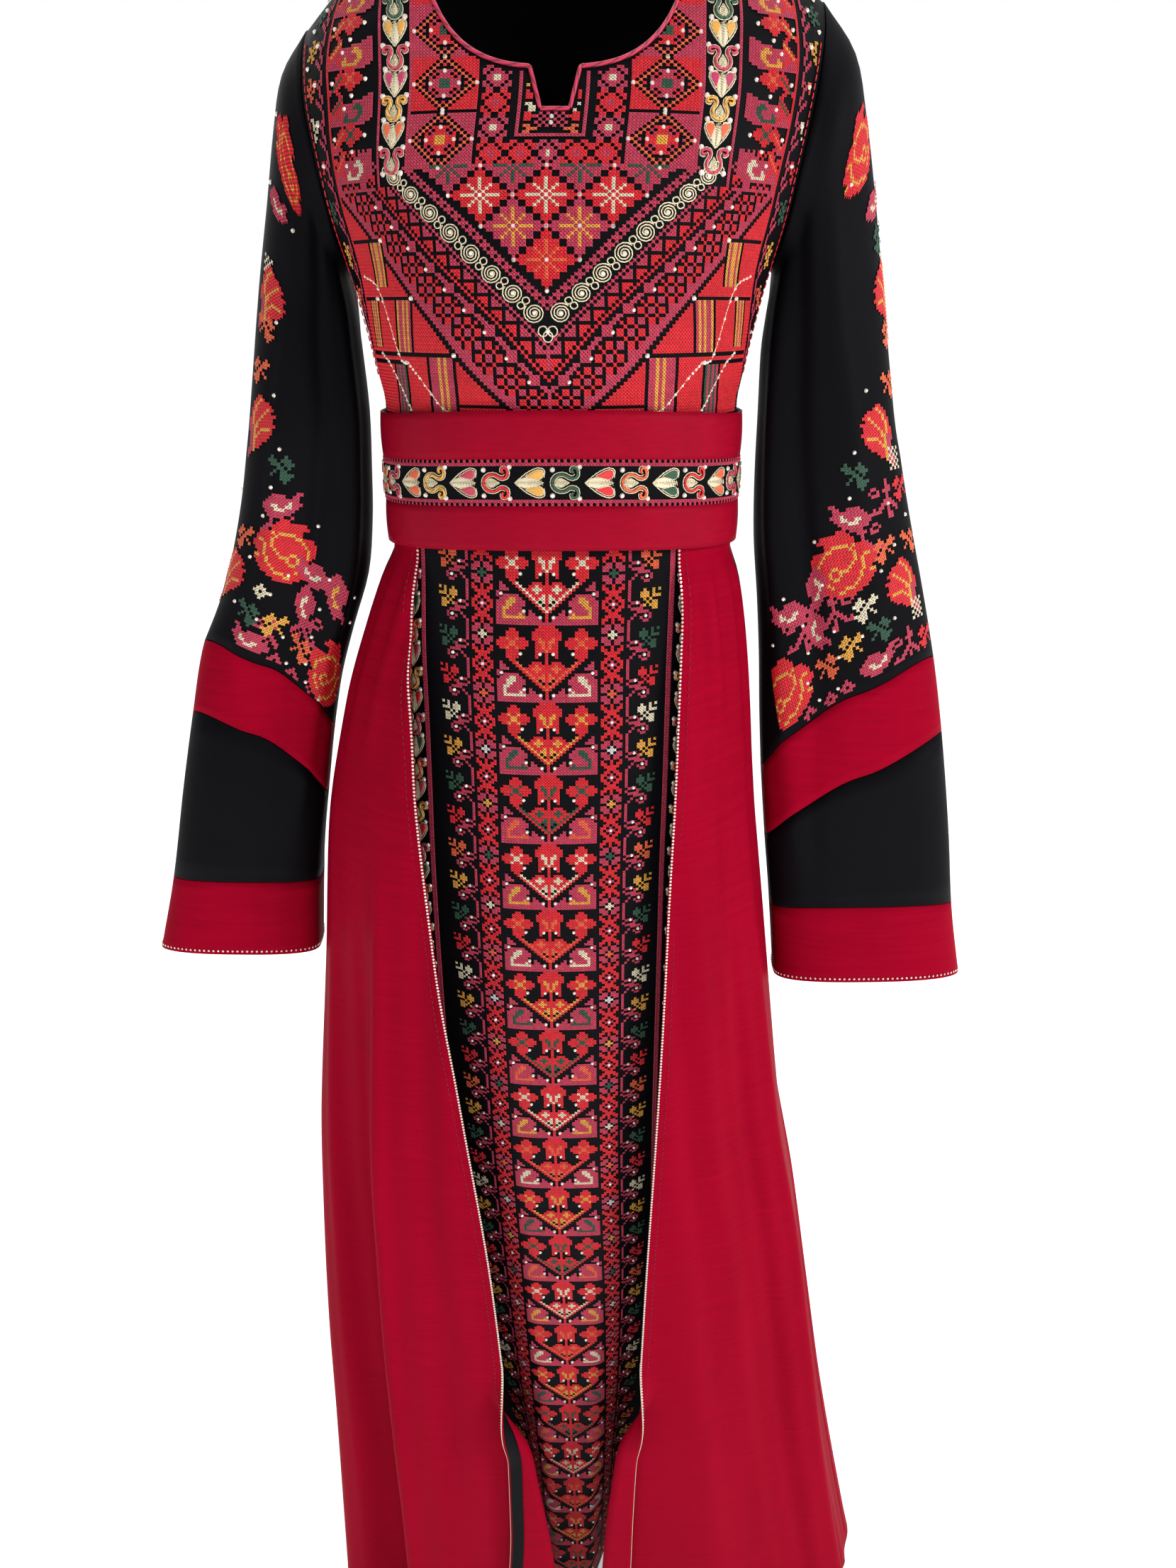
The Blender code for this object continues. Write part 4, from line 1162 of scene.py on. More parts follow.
# The vine and florets by the armhole.
SPRIG_VINE = """
..ff.....P.
...f.ff.PP.
ff.ff..P.P.
.fff.f.PP..
..f.ff..P..
.fff....P..
ff.ff...PP.
...f..P..P.
......PP.P.
.......PP..
........P..
.........P.
.........P.
""".split()
VINE = """
f.f..f....P
..f.fff...P
fff.fff...P
...f.f....P
.ff.f..PPP.
.fff.fP...P
.ff...PPPP.
....PPPP...
...P....P..
...P..P..P.
....PP....P
..........P
..........P
""".split()
LOZENGES = """
R..R..R RR.R.RR .RRRRR. ..RRR.. .RR.RR. RR.P.RR R.PPP.R RR.P.RR .RR.RR. ..RRR.. .RRRRR. RR.R.RR R..R..R
.PP.PP. PPP.PPP PP.a.PP ..aaa.. PP.a.PP PPP.PPP .PP.PP.
""".split()
# Half of the skirt's tree of flowers: a and b are its two light colours.
TREE = mirrored("""
.............RRR
....RR......RRRR
...RRRR....RRRRR
...RRRR....RRRRR
.RRaRRaRR..RRaRR
RRRRaaRRRR..RaaR
RRRRaaRRRR..RRaR
.RRaRRaRR...RRaR
...RRRR.....RRRa
...RRRR.....R..R
...RRRR.....R..R
....RR.........R
.P...Ra....RRR.R
.PP...Ra..RRaRRR
.PPP...RaRRaaaRR
P.......RaRRaRRR
P.PPPPP..RaRRRaR
.PPPbbPP..RaRaaR
PPPbbbPPP..Ra.aR
PPPbbPPPP...Ra.R
PPbbPPPP.....RaR
PPbPPPPP..P...Ra
PPbPPPPbP.PP...R
PPbbbbbbbPPPP..R
PPPPPPPPPPPPPP.R
PPPPPPPPPPPPPPPP
""".split())
ROSE = """
........RRR.........
.......RRRRRRRRR....
......RRRRRRRRRRR...
......RRRRRRRRR.....
...RRRyRyyyyyRR.....
..RRRRRyRRRRRyyRRRR.
.RRRRRyRRRRRRRRyRRRR
.RyyRRyRRRRRRRRRyRRR
RRRRyRyRRRRRRRRRRyRR
RRRRyRRyRRRRRRRRRyRR
.RRRyRRRyRRRyyRRRyR.
..RRyRRRRyyyRRyRRR..
.yyRRyRRRRRyRRyRyRR.
.RRRRyRRRRRRyyRRyRR.
..RRRRyRRRRRRRRyRR..
...RRRRyRRRRRRyRRR..
....RRRRyyyRRRRRR...
......RRRRRyyRRR....
........RRRRRR......
""".split()
BUD = """
....RR......
...RRyR.....
..RRyRRRR...
..RyRRRRRR..
.RRyRRRRyRR.
.RyRRRRyRR..
.RyRRRyRRRRR
RRyRRyRRRRR.
RRyRyRRRRRR.
RPPyyRRRRRRR
PPPyRRyyyyR.
.PPyRyRRRRR.
.PPyyRRRRR..
.PPyRRRRR...
.PPyRRR.....
.PPyRR......
PPPy........
PP..........
P...........
""".split()
LEAF = """
..........PP
...PPPP..PP.
..PPPPPPPPP.
.PPPPPPPcPPP
PPPccPPccPP.
PPPPcccPPP..
.PPPPPPPP...
...PPPP.....
""".split()
FLORET = """
.f...f..
fff.fff.
.fff.fff
...ff.f.
..f.ff..
.f..ffff
....fff.
.....f..
""".split()
SPRIG = """
...P......
...P......
..PP...PP.
..PPP.P..P
...P..PPP.
...P......
..PPP.....
.PP.PP....
PP.P.PP.P.
P..P..PPPP
..PP......
..PP......
""".split()
RING = """
..f..
.fff.
ff.ff
.fff.
..f..
""".split()
STAR_REACH = [8, 7, 5, 5, 3, 3, 1, 1, 0]   # half widths of an eight-petal star, from its middle row out

# The bodice's rows as heights on the cloth, and its columns as distances from the middle.
BODICE_ROWS = table("row z", [
    (-78, -0.007), (-71, -0.0125), (-65, -0.0163), (-55, -0.0243), (-47, -0.032), (-39, -0.0406),
    (-32, -0.0486), (-26, -0.056), (-21, -0.0635), (-4, -0.091), (14, -0.12), (24, -0.136),
    (31, -0.148), (40, -0.1625), (49, -0.178), (58, -0.195), (69, -0.2145), (77, -0.2295), (88, -0.255),
    (99, -0.2775), (108, -0.296),
])
BODICE_ROW_LIMITS = (-78, 106)
BODICE_COLUMNS = table("column right left", [
    (0, 0.0, 0.0), (20, 0.0405, 0.041), (40, 0.0806, 0.0832), (53, 0.1032, 0.1093), (71, 0.135, 0.1436),
    (90, 0.169, 0.179),
])
BODICE_SHIFT = -0.005     # the embroidery's middle lies this far to the wearer's right from STAR_ROW down
BODICE_LAST_COLUMN = 90
FRAME_COLUMN = 9          # rose frame round the placket
FRAME_ROW = 22
BLOCK_COLUMN = 30         # middle of the square blocks
BLOCKS = [(-12, "P", "G", "R"), (5, "R", "G", "P"), (23, "P", "Y", "R")]
STRIP_COLUMN = 45.5       # middle of the couched strips
BOX_COLUMN = 53
BOX_ROWS = (-70, -52, -34, -16, 2, 20)
TRIANGLE_TOP, TRIANGLE_APEX = 31, 70
STAR_ROW = 40
ZIGZAG_APEX = 82
# Striped patches among the plain red at the sides: their columns, rows and stripes.
STRIPED_PATCHES = [((-35, -28), (85, 106), "PPYPYP"), ((-49, -43), (70, 83), "PYPYP"),
                   ((-60, -55), (53, 65), "YPY"), ((-52, -47), (87, 106), "GPGP"),
                   ((-66, -62), (70, 82), "YPYP")]
BLOCK_APEX = (-5, 89)     # a step of the rose band, from which the bands outside it are counted


def star(chart, column, row, ground, light):
    """An eight-petal star, as far as it lies inside the triangle of stars."""
    for down in range(-8, 9):
        reach = STAR_REACH[abs(down)]
        for across in range(-reach, reach + 1):
            far, near = max(abs(across), abs(down)), min(abs(across), abs(down))
            lit = (near == 0 and (far == 0 or 2 <= far <= 5)) or (near == far and far <= 3)
            cell = (column + across, row + down)
            if row + down >= TRIANGLE_TOP and abs(cell[0]) + cell[1] <= TRIANGLE_APEX - 3:
                chart[cell] = light if lit else ground


def block(chart, column, row, ground, heart, petal):
    """A square block: a dotted orange diamond on plain stitches, with a cross flower on black in it."""
    other = "P" if petal == "R" else "R"
    for across in range(-9, 10):
        for down in range(-8, 9):
            far, near = max(abs(across), abs(down)), min(abs(across), abs(down))
            away = abs(across) + abs(down)
            letter = None
            if away > 9:
                letter = ground
            elif away == 8:
                letter = "O"
            elif away < 8:
                if far <= 1:
                    letter = heart
                elif near <= 1 and 2 <= far <= 4 or near == 2 and far == 4:
                    letter = petal
                elif near == far and far in (2, 3) or near == 0 and far == 6:
                    letter = other
            if letter:
                chart[(column + across, row + down)] = letter


def zigzag_bands(half):
    """The stepped bands outside the gold cord, charted on the left half only."""
    def cell(across, down, letter, start):
        if start[0] + across <= 0:
            half[(start[0] + across, start[1] + down)] = letter

    for column in range(-90, 1):
        for row in range(34, BODICE_ROW_LIMITS[1] + 1):
            out = (row - BLOCK_APEX[1]) - (column - BLOCK_APEX[0]) - 14
            if out >= 4 and row > 36:
                half[(column, row)] = "R"
    for k in range(-16, 4):
        start = (BLOCK_APEX[0] + 12 + 4 * k, BLOCK_APEX[1] + 4 * k)
        for step in range(4):
            cell(step, step, "P", start)
            cell(step - 8, step, "R", start)
        for across in range(3):
            for down in range(3):
                if across <= down:
                    cell(across - 2, down, "P", start)
                if across >= down:
                    cell(across - 6, down, "R", start)
    for k in range(-12, 3):
        start = (BLOCK_APEX[0] + 6 * k, BLOCK_APEX[1] + 6 * k)
        for down, reach in enumerate(((0, 2), (0, 2), (0, 2), (3, 4), (4, 5), (5, 6))):
            for across in range(reach[0], reach[1] + 1):
                cell(across, down, "P", start)
        for down, reach in enumerate(((-2, 2), (-1, 2), (0, 2), (1, 3), (2, 4), (3, 5))):
            for across in range(reach[0], reach[1] + 1):
                cell(across - 13, down, "P", start)
        for across, down, letter in ((-6, 1, "P"), (-9, 1, "R"), (-3, 1, "R"), (-6, 4, "R"), (-3, 4, "P"),
                                     (0, 4, "R")):
            for step in range(4):
                cell(across + step % 2, down + step // 2, letter, start)
        for across, down in ((-7, 0), (-4, 0), (-7, 3), (-4, 3), (-3, -1), (-8, 4)):
            cell(across, down, "R", start)


def bodice_chart():
    half = {}
    top = BODICE_ROW_LIMITS[0]
    zigzag_bands(half)
    for columns, rows, letters in STRIPED_PATCHES:
        fill(half, (columns[0] - 1, columns[1] + 1), (rows[0] - 1, rows[1]), ".")
        for column in range(columns[0], columns[1] + 1):
            fill(half, (column, column), rows, letters[(columns[1] - column) % len(letters)])
        fill(half, (-80, columns[1] + 1), (rows[0] - 1, rows[0] - 1), ".")
    fill(half, (-27, -14), (98, 98), ".")
    # Everything above the gold cord and inside the strips starts bare.
    for column in range(-90, 1):
        for row in range(top, ZIGZAG_APEX + 1):
            if row - column < ZIGZAG_APEX or row < 37 and column > -52:
                half.pop((column, row), None)
    # The zigzag's first line, the border of the star triangle, and its rungs.
    for column in range(-48, 1):
        for apex, every in ((ZIGZAG_APEX, 1), (TRIANGLE_APEX, 1), (TRIANGLE_APEX + 2, 1),
                            (TRIANGLE_APEX + 1, 2)):
            row = apex + column
            if row >= (TRIANGLE_TOP if apex < ZIGZAG_APEX else 37) and row % every == 0:
                half[(column, row)] = "P"
    for row in list(range(83, 88)) + list(range(95, 100)):
        half[(0, row)] = "P"
    # Boxes of flowers and paisleys outside the strips, their steps, and the line outside them.
    for count, row in enumerate(BOX_ROWS):
        paint(half, FLOWER, -BOX_COLUMN - 14, row - 4, {"a": "GOOOOG"[count]}, flip=True)
        paint(half, PAISLEY_BOX, -BOX_COLUMN - 18, row + 5, {"a": "CGYYGC"[count]})
        paint(half, STEPS, -BOX_COLUMN - 18, row - 4, {"a": "YGOYGO"[count]}, flip=True)
    fill(half, (-BOX_COLUMN - 18, -BOX_COLUMN), (37, 37), "P")
    for column in (-BOX_COLUMN + 2, -40):
        fill(half, (column, column), (top, 36 if column < -45 else 32), "P")
    fill(half, (-90, -73), BODICE_ROW_LIMITS, ".")
    fill(half, (-72, -72), BODICE_ROW_LIMITS, "R")
    for count, row in enumerate(range(top, BODICE_ROW_LIMITS[1] - 12, 13)):
        paint(half, SPRIG_VINE, -84, row, {"f": "YOCRGYOCRGYOCR"[count]})
    for row, ground, heart, petal in BLOCKS:
        block(half, -BLOCK_COLUMN, row, ground, heart, petal)
    fill(half, (-39, -21), (top, -21), "R")
    # The band of crosses round the placket, its frame and its small motifs.
    for places in ([(-19, row) for row in range(-24, 31, 8)], [(-11, 24), (-3, 24)]):
        for count, place in enumerate(places):
            paint(half, BAND_CROSS, *place, dict(zip("fa", ("RP", "PC")[count % 2])))
    fill(half, (-FRAME_COLUMN, -FRAME_COLUMN), (top, FRAME_ROW), "P")
    fill(half, (-FRAME_COLUMN, 0), (FRAME_ROW, FRAME_ROW), "P")
    for count, motif in enumerate(PLACKET_MOTIFS):
        paint(half, motif, -7, -2 + 3 * count + count // 2)
    for column in range(-4, 1):
        for row in range(14, 20):
            if (column + row) % 2 == 0:
                half[(column, row)] = "P"
    chart = {}
    for (column, row), letter in half.items():
        if column <= 0 and letter != ".":
            chart[(column, row)] = chart[(-column, row)] = letter
    for count, column in enumerate((-27, -9, 9, 27)):
        star(chart, column, TRIANGLE_TOP, "P", "G")
    for column, row, ground, light in ((-18, 40, "R", "C"), (0, 40, "R", "C"), (18, 40, "R", "C"),
                                       (-9, 49, "P", "Y"), (9, 49, "P", "Y"), (0, 58, "R", "O")):
        star(chart, column, row, ground, light)
    return chart


def on_bodice(point):
    """Whether a point of the bodice's cloth is clear of its neckline, seams and belt."""
    x, z = abs(point[0]), point[2]
    side = side_name(point[0])
    if z > shoulder_z(point[0]) - 0.003 or z < BELT_TOP_Z - 0.006:
        return False
    if x > armhole_x(side, z) - 0.0045 or torso_angle(x, z) > math.radians(84.0):
        return False
    share = max(1.0 - (x / NECK_HALF_WIDTH) ** NECK_SQUARENESS, 0.0)
    edge = NECK_DROP_FRONT * share ** (1.0 / NECK_SQUARENESS)
    if x < NECK_HALF_WIDTH + 0.003 and z > -edge - 0.0035:
        return False
    notch_half = NOTCH_BOTTOM_HALF + 0.0058 * (z - NOTCH_BOTTOM_Z) / 0.022
    return not (x < notch_half + 0.003 and z > NOTCH_BOTTOM_Z - 0.0025)


def bodice_canvas():
    first, last = BODICE_ROW_LIMITS
    angles = np.radians(np.linspace(-90.0, 90.0, 241))
    grid = []
    for row in range(first, last + 2):
        z = smooth_value(BODICE_ROWS["row"], BODICE_ROWS["z"], row - 0.5)
        grid.append([torso_point(angle, z) for angle in angles])

    def across(column, row):
        side = "left" if column > 0.0 else "right"
        plain = smooth_value(BODICE_COLUMNS["column"], BODICE_COLUMNS[side], abs(column))
        plain *= 1.0 + 0.06 * smoothstep((row - 60.0) / 30.0)
        return math.copysign(plain, column) + BODICE_SHIFT * smoothstep(row / STAR_ROW)

    return Canvas("bodice_front_cloth", point_grid(grid), len(angles) // 2, np.arange(len(grid)), across,
                  first, BODICE_LAST_COLUMN, CHEST)


SKIRT_PITCH = (0.00215, 0.00199)
SKIRT_TOP_Z = -0.345
SKIRT_LAST_COLUMN = 62
TREE_ROW, LOZENGE_ROW, VINE_ROW = -7, 0, -4
TREE_LIGHTS = [("G", "O"), ("C", "Y"), ("O", "C"), ("Y", "G")]
VINE_LIGHTS = "ROYGRCYG"


def skirt_canvas():
    """The inner skirt's front, its rows counted down the ridge from under the belt."""
    angles = np.radians(np.linspace(-88.0, 88.0, 201))
    grid = point_grid([[underskirt_point(angle, z) for angle in angles]
                       for z in np.linspace(SKIRT_TOP_Z, UNDERSKIRT_HEM_Z, 180)])
    middle = len(angles) // 2
    levels = counted_rows(grid[:, middle], SKIRT_PITCH[1])

    def across(column, row):
        return column * SKIRT_PITCH[0] - 0.0084 + 0.0049 * smoothstep(row / 110.0)

    canvas = Canvas("underskirt_front_cloth", grid, middle, levels, across, 0, SKIRT_LAST_COLUMN,
                    (0.0, 0.05, -0.8))
    return canvas, len(levels) - 2


def skirt_chart(last_row):
    chart = {}
    for count, row in enumerate(range(TREE_ROW, last_row, 26)):
        paint(chart, TREE, -15, row - 12, dict(zip("ab", TREE_LIGHTS[count % 4])))
    for count, row in enumerate(range(LOZENGE_ROW, last_row, 20)):
        for column in (-23, 17):
            paint(chart, LOZENGES, column, row, {"a": "GCOWY"[count % 5]})
    for count, row in enumerate(range(VINE_ROW, last_row, 13)):
        for column, flip in ((-35, False), (25, True)):
            paint(chart, VINE, column, row, {"f": VINE_LIGHTS[count % 8]}, flip)
    for columns in ((-43, -42), (39, 40)):
        fill(chart, columns, (0, last_row), "P")
    return {cell: letter for cell, letter in chart.items() if 0 <= cell[1] <= last_row - 4}


# ---- cords, silk and stones

CORD_SIDES = 6
COIL_RADIUS, EDGING_RADIUS, ZIGZAG_RADIUS, LEAF_EDGING_RADIUS = 0.00042, 0.00038, 0.0004, 0.00036
PADDING_RADIUS = 0.00085
TAPE_WIDTH, TAPE_WALL = 0.0104, 0.0005
STONES = {"seed": 0.00108, "small": 0.00132, "round": 0.00144, "large": 0.00156, "pearl": 0.00168}
CHAIN_STONE_RADIUS = 0.00095
CHAIN_SPACING = 0.0026
STONE_LIFT = 0.0004
# The couched motifs by halves or by one side, in columns and rows from their top middle.
SCROLL_LINE = [(2.6, 1.5), (3.2, 2.0), (4.0, 1.6), (3.8, 0.7), (2.8, 0.3), (1.7, 0.7), (1.25, 1.7),
               (1.45, 2.7), (2.1, 3.8), (2.3, 5.0), (1.9, 6.2), (0.95, 7.1), (0.0, 7.4)]
SCROLL_OUTER = [(2.9, 1.3), (3.0, 2.5), (4.2, 2.3), (4.55, 1.3), (4.0, 0.2), (2.7, -0.25), (1.3, 0.2),
                (0.7, 1.6), (0.95, 2.9), (1.6, 4.0), (1.75, 5.0), (1.45, 5.9), (0.7, 6.6), (0.0, 6.8)]
SCROLL_INNER = [(2.35, 1.1), (1.95, 1.7), (2.05, 2.5), (2.65, 3.6), (2.85, 5.0), (2.4, 6.6),
                (1.2, 7.75), (0.0, 8.0)]
DROP_LINE = [(0.0, 2.6), (0.55, 3.7), (1.1, 4.7), (1.05, 5.7), (0.5, 6.3), (0.0, 6.4)]
LEAF_OUTLINE = [(1.1, 0.65), (2.1, 0.05), (3.2, 0.2), (3.55, 1.3), (3.2, 2.6), (2.5, 3.9), (1.75, 5.2),
                (1.5, 4.1), (1.2, 2.8), (0.95, 1.7)]
HEART_LINE = [(0.0, -0.1), (0.95, 1.5), (1.35, 4.0), (1.5, 5.4), (0.9, 7.0), (0.0, 8.2)]
TAPER_LINE = [(1.4, -0.1), (3.4, -0.25), (4.05, 1.3), (3.6, 3.0), (2.6, 4.9), (1.3, 6.6), (0.0, 8.2)]
SHADES = {**THREADS, "gold": GOLD_CORD, "pink": (0.62, 0.035, 0.14), "deep": (0.2, 0.004, 0.018),
          "piping": (0.55, 0.02, 0.07)}


def cord_finish(name, metallic, roughness, turns):
    """Plied thread or cord: slanting plies round it, with painted shade between them."""
    made, tree, shader = new_finish(name, THREADS["C"], roughness)
    along, around = chart_axes(tree)
    slant = maths(tree, "ADD", maths(tree, "MULTIPLY", along, turns), maths(tree, "MULTIPLY", around, 2.0))
    ply = maths(tree, "ABSOLUTE", maths(tree, "SINE", maths(tree, "MULTIPLY", slant, math.pi)))
    # Painted shade: the colour darkens in the grooves between the plies.
    shade = maths(tree, "MULTIPLY", maths(tree, "POWER", ply, 0.6), 1.15)
    feed(tree, shader.inputs["Base Color"], mixed(tree, shade, (0.02, 0.01, 0.006), thread_colour(tree)))
    shader.inputs["Metallic"].default_value = metallic
    bump(tree, shader, ply, 0.0004, 0.7)
    return made


def silk_finish():
    """Satin stitch: threads lying side by side across the patch, with a soft lustre and painted shade between
    the threads.
    """
    made, tree, shader = new_finish("silk_thread", THREADS["Y"], 0.38)
    across, _ = chart_axes(tree)
    thread = maths(tree, "ABSOLUTE", maths(tree, "SINE", maths(tree, "MULTIPLY", across, math.pi)))
    # Painted shade: the colour darkens between the threads.
    shade = maths(tree, "ADD", maths(tree, "MULTIPLY", thread, 0.55), 0.55)
    feed(tree, shader.inputs["Base Color"], mixed(tree, shade, (0.02, 0.006, 0.006), thread_colour(tree)))
    bump(tree, shader, thread, 0.0003, 0.6)
    return made


def stone_finish():
    """Cut stones, each tinted a little differently by where it sits."""
    made, tree, shader = new_finish("rhinestone", (0.86, 0.82, 0.78), 0.22)
    shader.inputs["Metallic"].default_value = 0.3
    shader.inputs["Specular IOR Level"].default_value = 0.9
    tint = noise(tree, object_place(tree), 420.0)
    feed(tree, shader.inputs["Base Color"], mixed(tree, tint, (0.7, 0.66, 0.68), (0.98, 0.84, 0.62)))
    return made


def smooth_line(points, count):
    return smooth_rows([[point] for point in points], count)[:, 0]


def painted_piece(name, vertices, faces, wraps, letters, finish):
    """A piece whose faces carry thread colours, with its texture coordinates corner by corner."""
    piece = new_piece(name, np.concatenate(vertices), faces, finish, "embroidery_thread")
    thread = piece.data.attributes.new("thread", "FLOAT_COLOR", "FACE")
    thread.data.foreach_set("color", np.array([(*SHADES[letter], 1.0) for letter in letters]).ravel())
    piece.data.uv_layers.new(name="thread_line").uv.foreach_set("vector", np.array(wraps, np.float32).ravel())
    return piece


def make_cords(name, lines, finish, sides=CORD_SIDES):
    """Round cords: each line has its points, the way out of the cloth there, its radius and its colour."""
    vertices, faces, wraps, letters = [], [], [], []
    base = 0
    turns = np.arange(sides) * 2.0 * math.pi / sides
    for points, normals, radius, letter in lines:
        along = unit(np.gradient(points, axis=0))
        side = unit(np.cross(along, normals))
        up = np.cross(side, along)
        radii = np.full(len(points), radius)
        radii[[0, -1]] *= 0.75
        around = np.cos(turns)[None, :, None] * up[:, None] + np.sin(turns)[None, :, None] * side[:, None]
        vertices.append((points[:, None] + around * radii[:, None, None]).reshape(-1, 3))
        quads = grid_faces(len(points), sides, True)
        faces += (quads + base).tolist()
        arcs = arc_lengths(points, 0) / (2.0 * math.pi * radius)
        for start, end in zip(arcs, arcs[1:]):
            for k in range(sides):
                left, right = k / sides, (k + 1) / sides
                wraps += [(start, left), (start, right), (end, right), (end, left)]
        letters += [letter] * len(quads)
        for end in (0, (len(points) - 1) * sides):
            faces.append([base + end + k for k in range(sides)])
            wraps += [(0.0, 0.0)] * sides
            letters.append(letter)
        base += len(points) * sides
    return painted_piece(name, vertices, faces, wraps, letters, finish)


def make_patches(name, patches, finish):
    """Padded satin stitch: each patch has rings of points from its outline to its middle, and its colour."""
    vertices, faces, wraps, letters = [], [], [], []
    base = 0
    for rings, stripes, letter in patches:
        count = len(rings[0])
        vertices.append(np.concatenate(rings))
        quads = grid_faces(len(rings), count, True)
        flat = np.concatenate(stripes)
        faces += (quads + base).tolist()
        wraps += [(flat[corner], 0.0) for quad in quads for corner in quad]
        letters += [letter] * len(quads)
        last = (len(rings) - 1) * count
        faces.append([base + last + k for k in range(count)])
        wraps += [(flat[last + k], 0.0) for k in range(count)]
        letters.append(letter)
        base += len(rings) * count
    return painted_piece(name, vertices, faces, wraps, letters, finish)


def make_stones(name, places, finish):
    """Faceted stones, all like one cut stone: each place has its point, the way up, and its radius."""
    bpy.ops.object.select_all(action="DESELECT")
    bpy.ops.mesh.primitive_cylinder_add(vertices=8, radius=1.0, depth=0.7)
    piece = bpy.context.object
    piece.name = name
    mesh = piece.data
    mesh.name = name
    open_with_faces(mesh, [face.normal.z > 0.9 for face in mesh.polygons])
    bpy.ops.transform.resize(value=(0.62, 0.62, 1.0))
    bpy.ops.object.mode_set(mode="OBJECT")
    cut = np.array([tuple(vertex.co) for vertex in mesh.vertices]) + (0.0, 0.0, 0.3)
    shapes = [list(face.vertices) for face in mesh.polygons]
    vertices, faces = [], []
    for count, (point, up, radius) in enumerate(places):
        up = unit(up)
        across = unit(np.cross(up, (0.0, 0.3, 1.0)))
        turn = random.uniform(0.0, 0.8)
        cosine, sine = math.cos(turn), math.sin(turn)
        spin = np.array([[cosine, sine, 0.0], [-sine, cosine, 0.0], [0.0, 0.0, 1.0]])
        vertices.append(point + cut @ spin @ np.stack([across, np.cross(up, across), up]) * radius)
        faces += [[corner + count * len(cut) for corner in face] for face in shapes]
    mesh.clear_geometry()
    mesh.from_pydata(np.concatenate(vertices).tolist(), [], faces)
    own(piece, finish, "embroidery_thread")


class Needlework:
    """Cords, silk patches and stones gathered for one canvas, to be made as a piece of each kind."""

    def __init__(self, canvas, belongs=lambda point: True):
        self.canvas = canvas
        self.belongs = belongs
        self.gold, self.silk, self.patches, self.stones = [], [], [], []

    def line(self, lines, places, radius, letter, share=0.6):
        points, normals = self.canvas.sample(places[:, 0], places[:, 1])
        if all(self.belongs(point) for point in points):
            lines.append((points + normals * radius * share, normals, radius, letter))

    def patch(self, outline, slant, height, letter):
        """A domed patch inside an outline on the canvas; slant turns its threads."""
        middle = outline.mean(axis=0)
        rings, stripes = [], []
        for share, rise in ((1.0, 0.1), (0.93, 0.6), (0.75, 0.9), (0.4, 1.0)):
            places = middle + (outline - middle) * share
            points, normals = self.canvas.sample(places[:, 0], places[:, 1])
            if not all(self.belongs(point) for point in points):
                return
            rings.append(points + normals * height * rise)
            stripes.append((places[:, 0] * math.cos(slant) + places[:, 1] * math.sin(slant)) * 3.4)
        self.patches.append((rings, stripes, letter))

    def stone(self, column, row, size="small"):
        point, normal = self.canvas.sample(column, row)
        if self.belongs(point):
            self.stones.append((point + normal * STONE_LIFT, normal, STONES[size]))

    def scroll(self, put, letter):
        """A lyre of padded silk edged with gold, round a drop of gold cord."""
        for side in (1.0, -1.0):
            for points, lines, radius, shade, steps in (
                    (SCROLL_LINE, self.silk, PADDING_RADIUS, letter, 30),
                    (SCROLL_OUTER, self.gold, EDGING_RADIUS, "gold", 30),
                    (SCROLL_INNER, self.gold, EDGING_RADIUS, "gold", 22),
                    (DROP_LINE, self.gold, EDGING_RADIUS, "gold", 14)):
                self.line(lines, put(smooth_line(np.array(points) * (side, 1.0), steps)), radius, shade)
        self.patch(put(both_sides(DROP_LINE)), 1.5, 0.0006, "gold")
        self.zigzag(put([((-1.0) ** k * min(0.62, 0.28 * k), 3.1 + 0.34 * k) for k in range(10)]))
        for place in put([(-4.3, -0.2), (4.3, -0.2), (-3.5, 7.4), (3.5, 7.4)]):
            self.stone(*place, "pearl")

    def bulb(self, put, letter):
        """Two leaves of padded silk edged with gold, tapering to a point, with gold cord between."""
        for side in (1.0, -1.0):
            leaf = smooth_line(np.array(LEAF_OUTLINE + LEAF_OUTLINE[:1]) * (side, 1.0), 20)
            self.patch(put(leaf[:-1]), 0.4 * side, 0.0009, letter)
            self.line(self.gold, put(leaf), LEAF_EDGING_RADIUS, "gold")
            taper = smooth_line(np.array(TAPER_LINE) * (side, 1.0), 22)
            self.line(self.gold, put(taper), ZIGZAG_RADIUS, "gold")
        self.patch(put(both_sides(HEART_LINE)), 1.5, 0.0005, "gold")
        self.zigzag(put([((-1.0) ** k * (0.75 - 0.04 * k), 0.2 + 0.42 * k) for k in range(18)]))

    def zigzag(self, places):
        """Gold cord couched to and fro on top of a patch."""
        self.line(self.gold, places, ZIGZAG_RADIUS, "gold", 1.6)

    def spiral(self, column, row, heading, radius=2.95, turns=3.0):
        """A coil of gold cord with a stone in it, whose outer end lies in this direction."""
        steps = int(turns * 14)
        start = heading - 2.0 * math.pi * turns
        coil = arc(column, row, radius * np.linspace(0.16, 1.0, steps + 1), start, heading, steps)
        self.line(self.gold, coil, COIL_RADIUS, "gold")
        self.stone(column, row)

    def loop(self, column, row, heading, size):
        """A round loop of gold cord that leaves this place in this direction."""
        middle = (column + size * math.cos(heading), row + size * math.sin(heading))
        ring = arc(*middle, size, heading + math.pi, heading + 3.0 * math.pi, 12)
        self.line(self.gold, ring, COIL_RADIUS, "gold")

    def make(self, name, finishes):
        for kind, lines in (("gold", self.gold), ("silk", self.silk)):
            if lines:
                make_cords(name + "_" + kind + "_cord", lines, finishes[kind])
        if self.patches:
            make_patches(name + "_silk_patches", self.patches, finishes["patch"])
        if self.stones:
            make_stones(name + "_stones", self.stones, finishes["stone"])


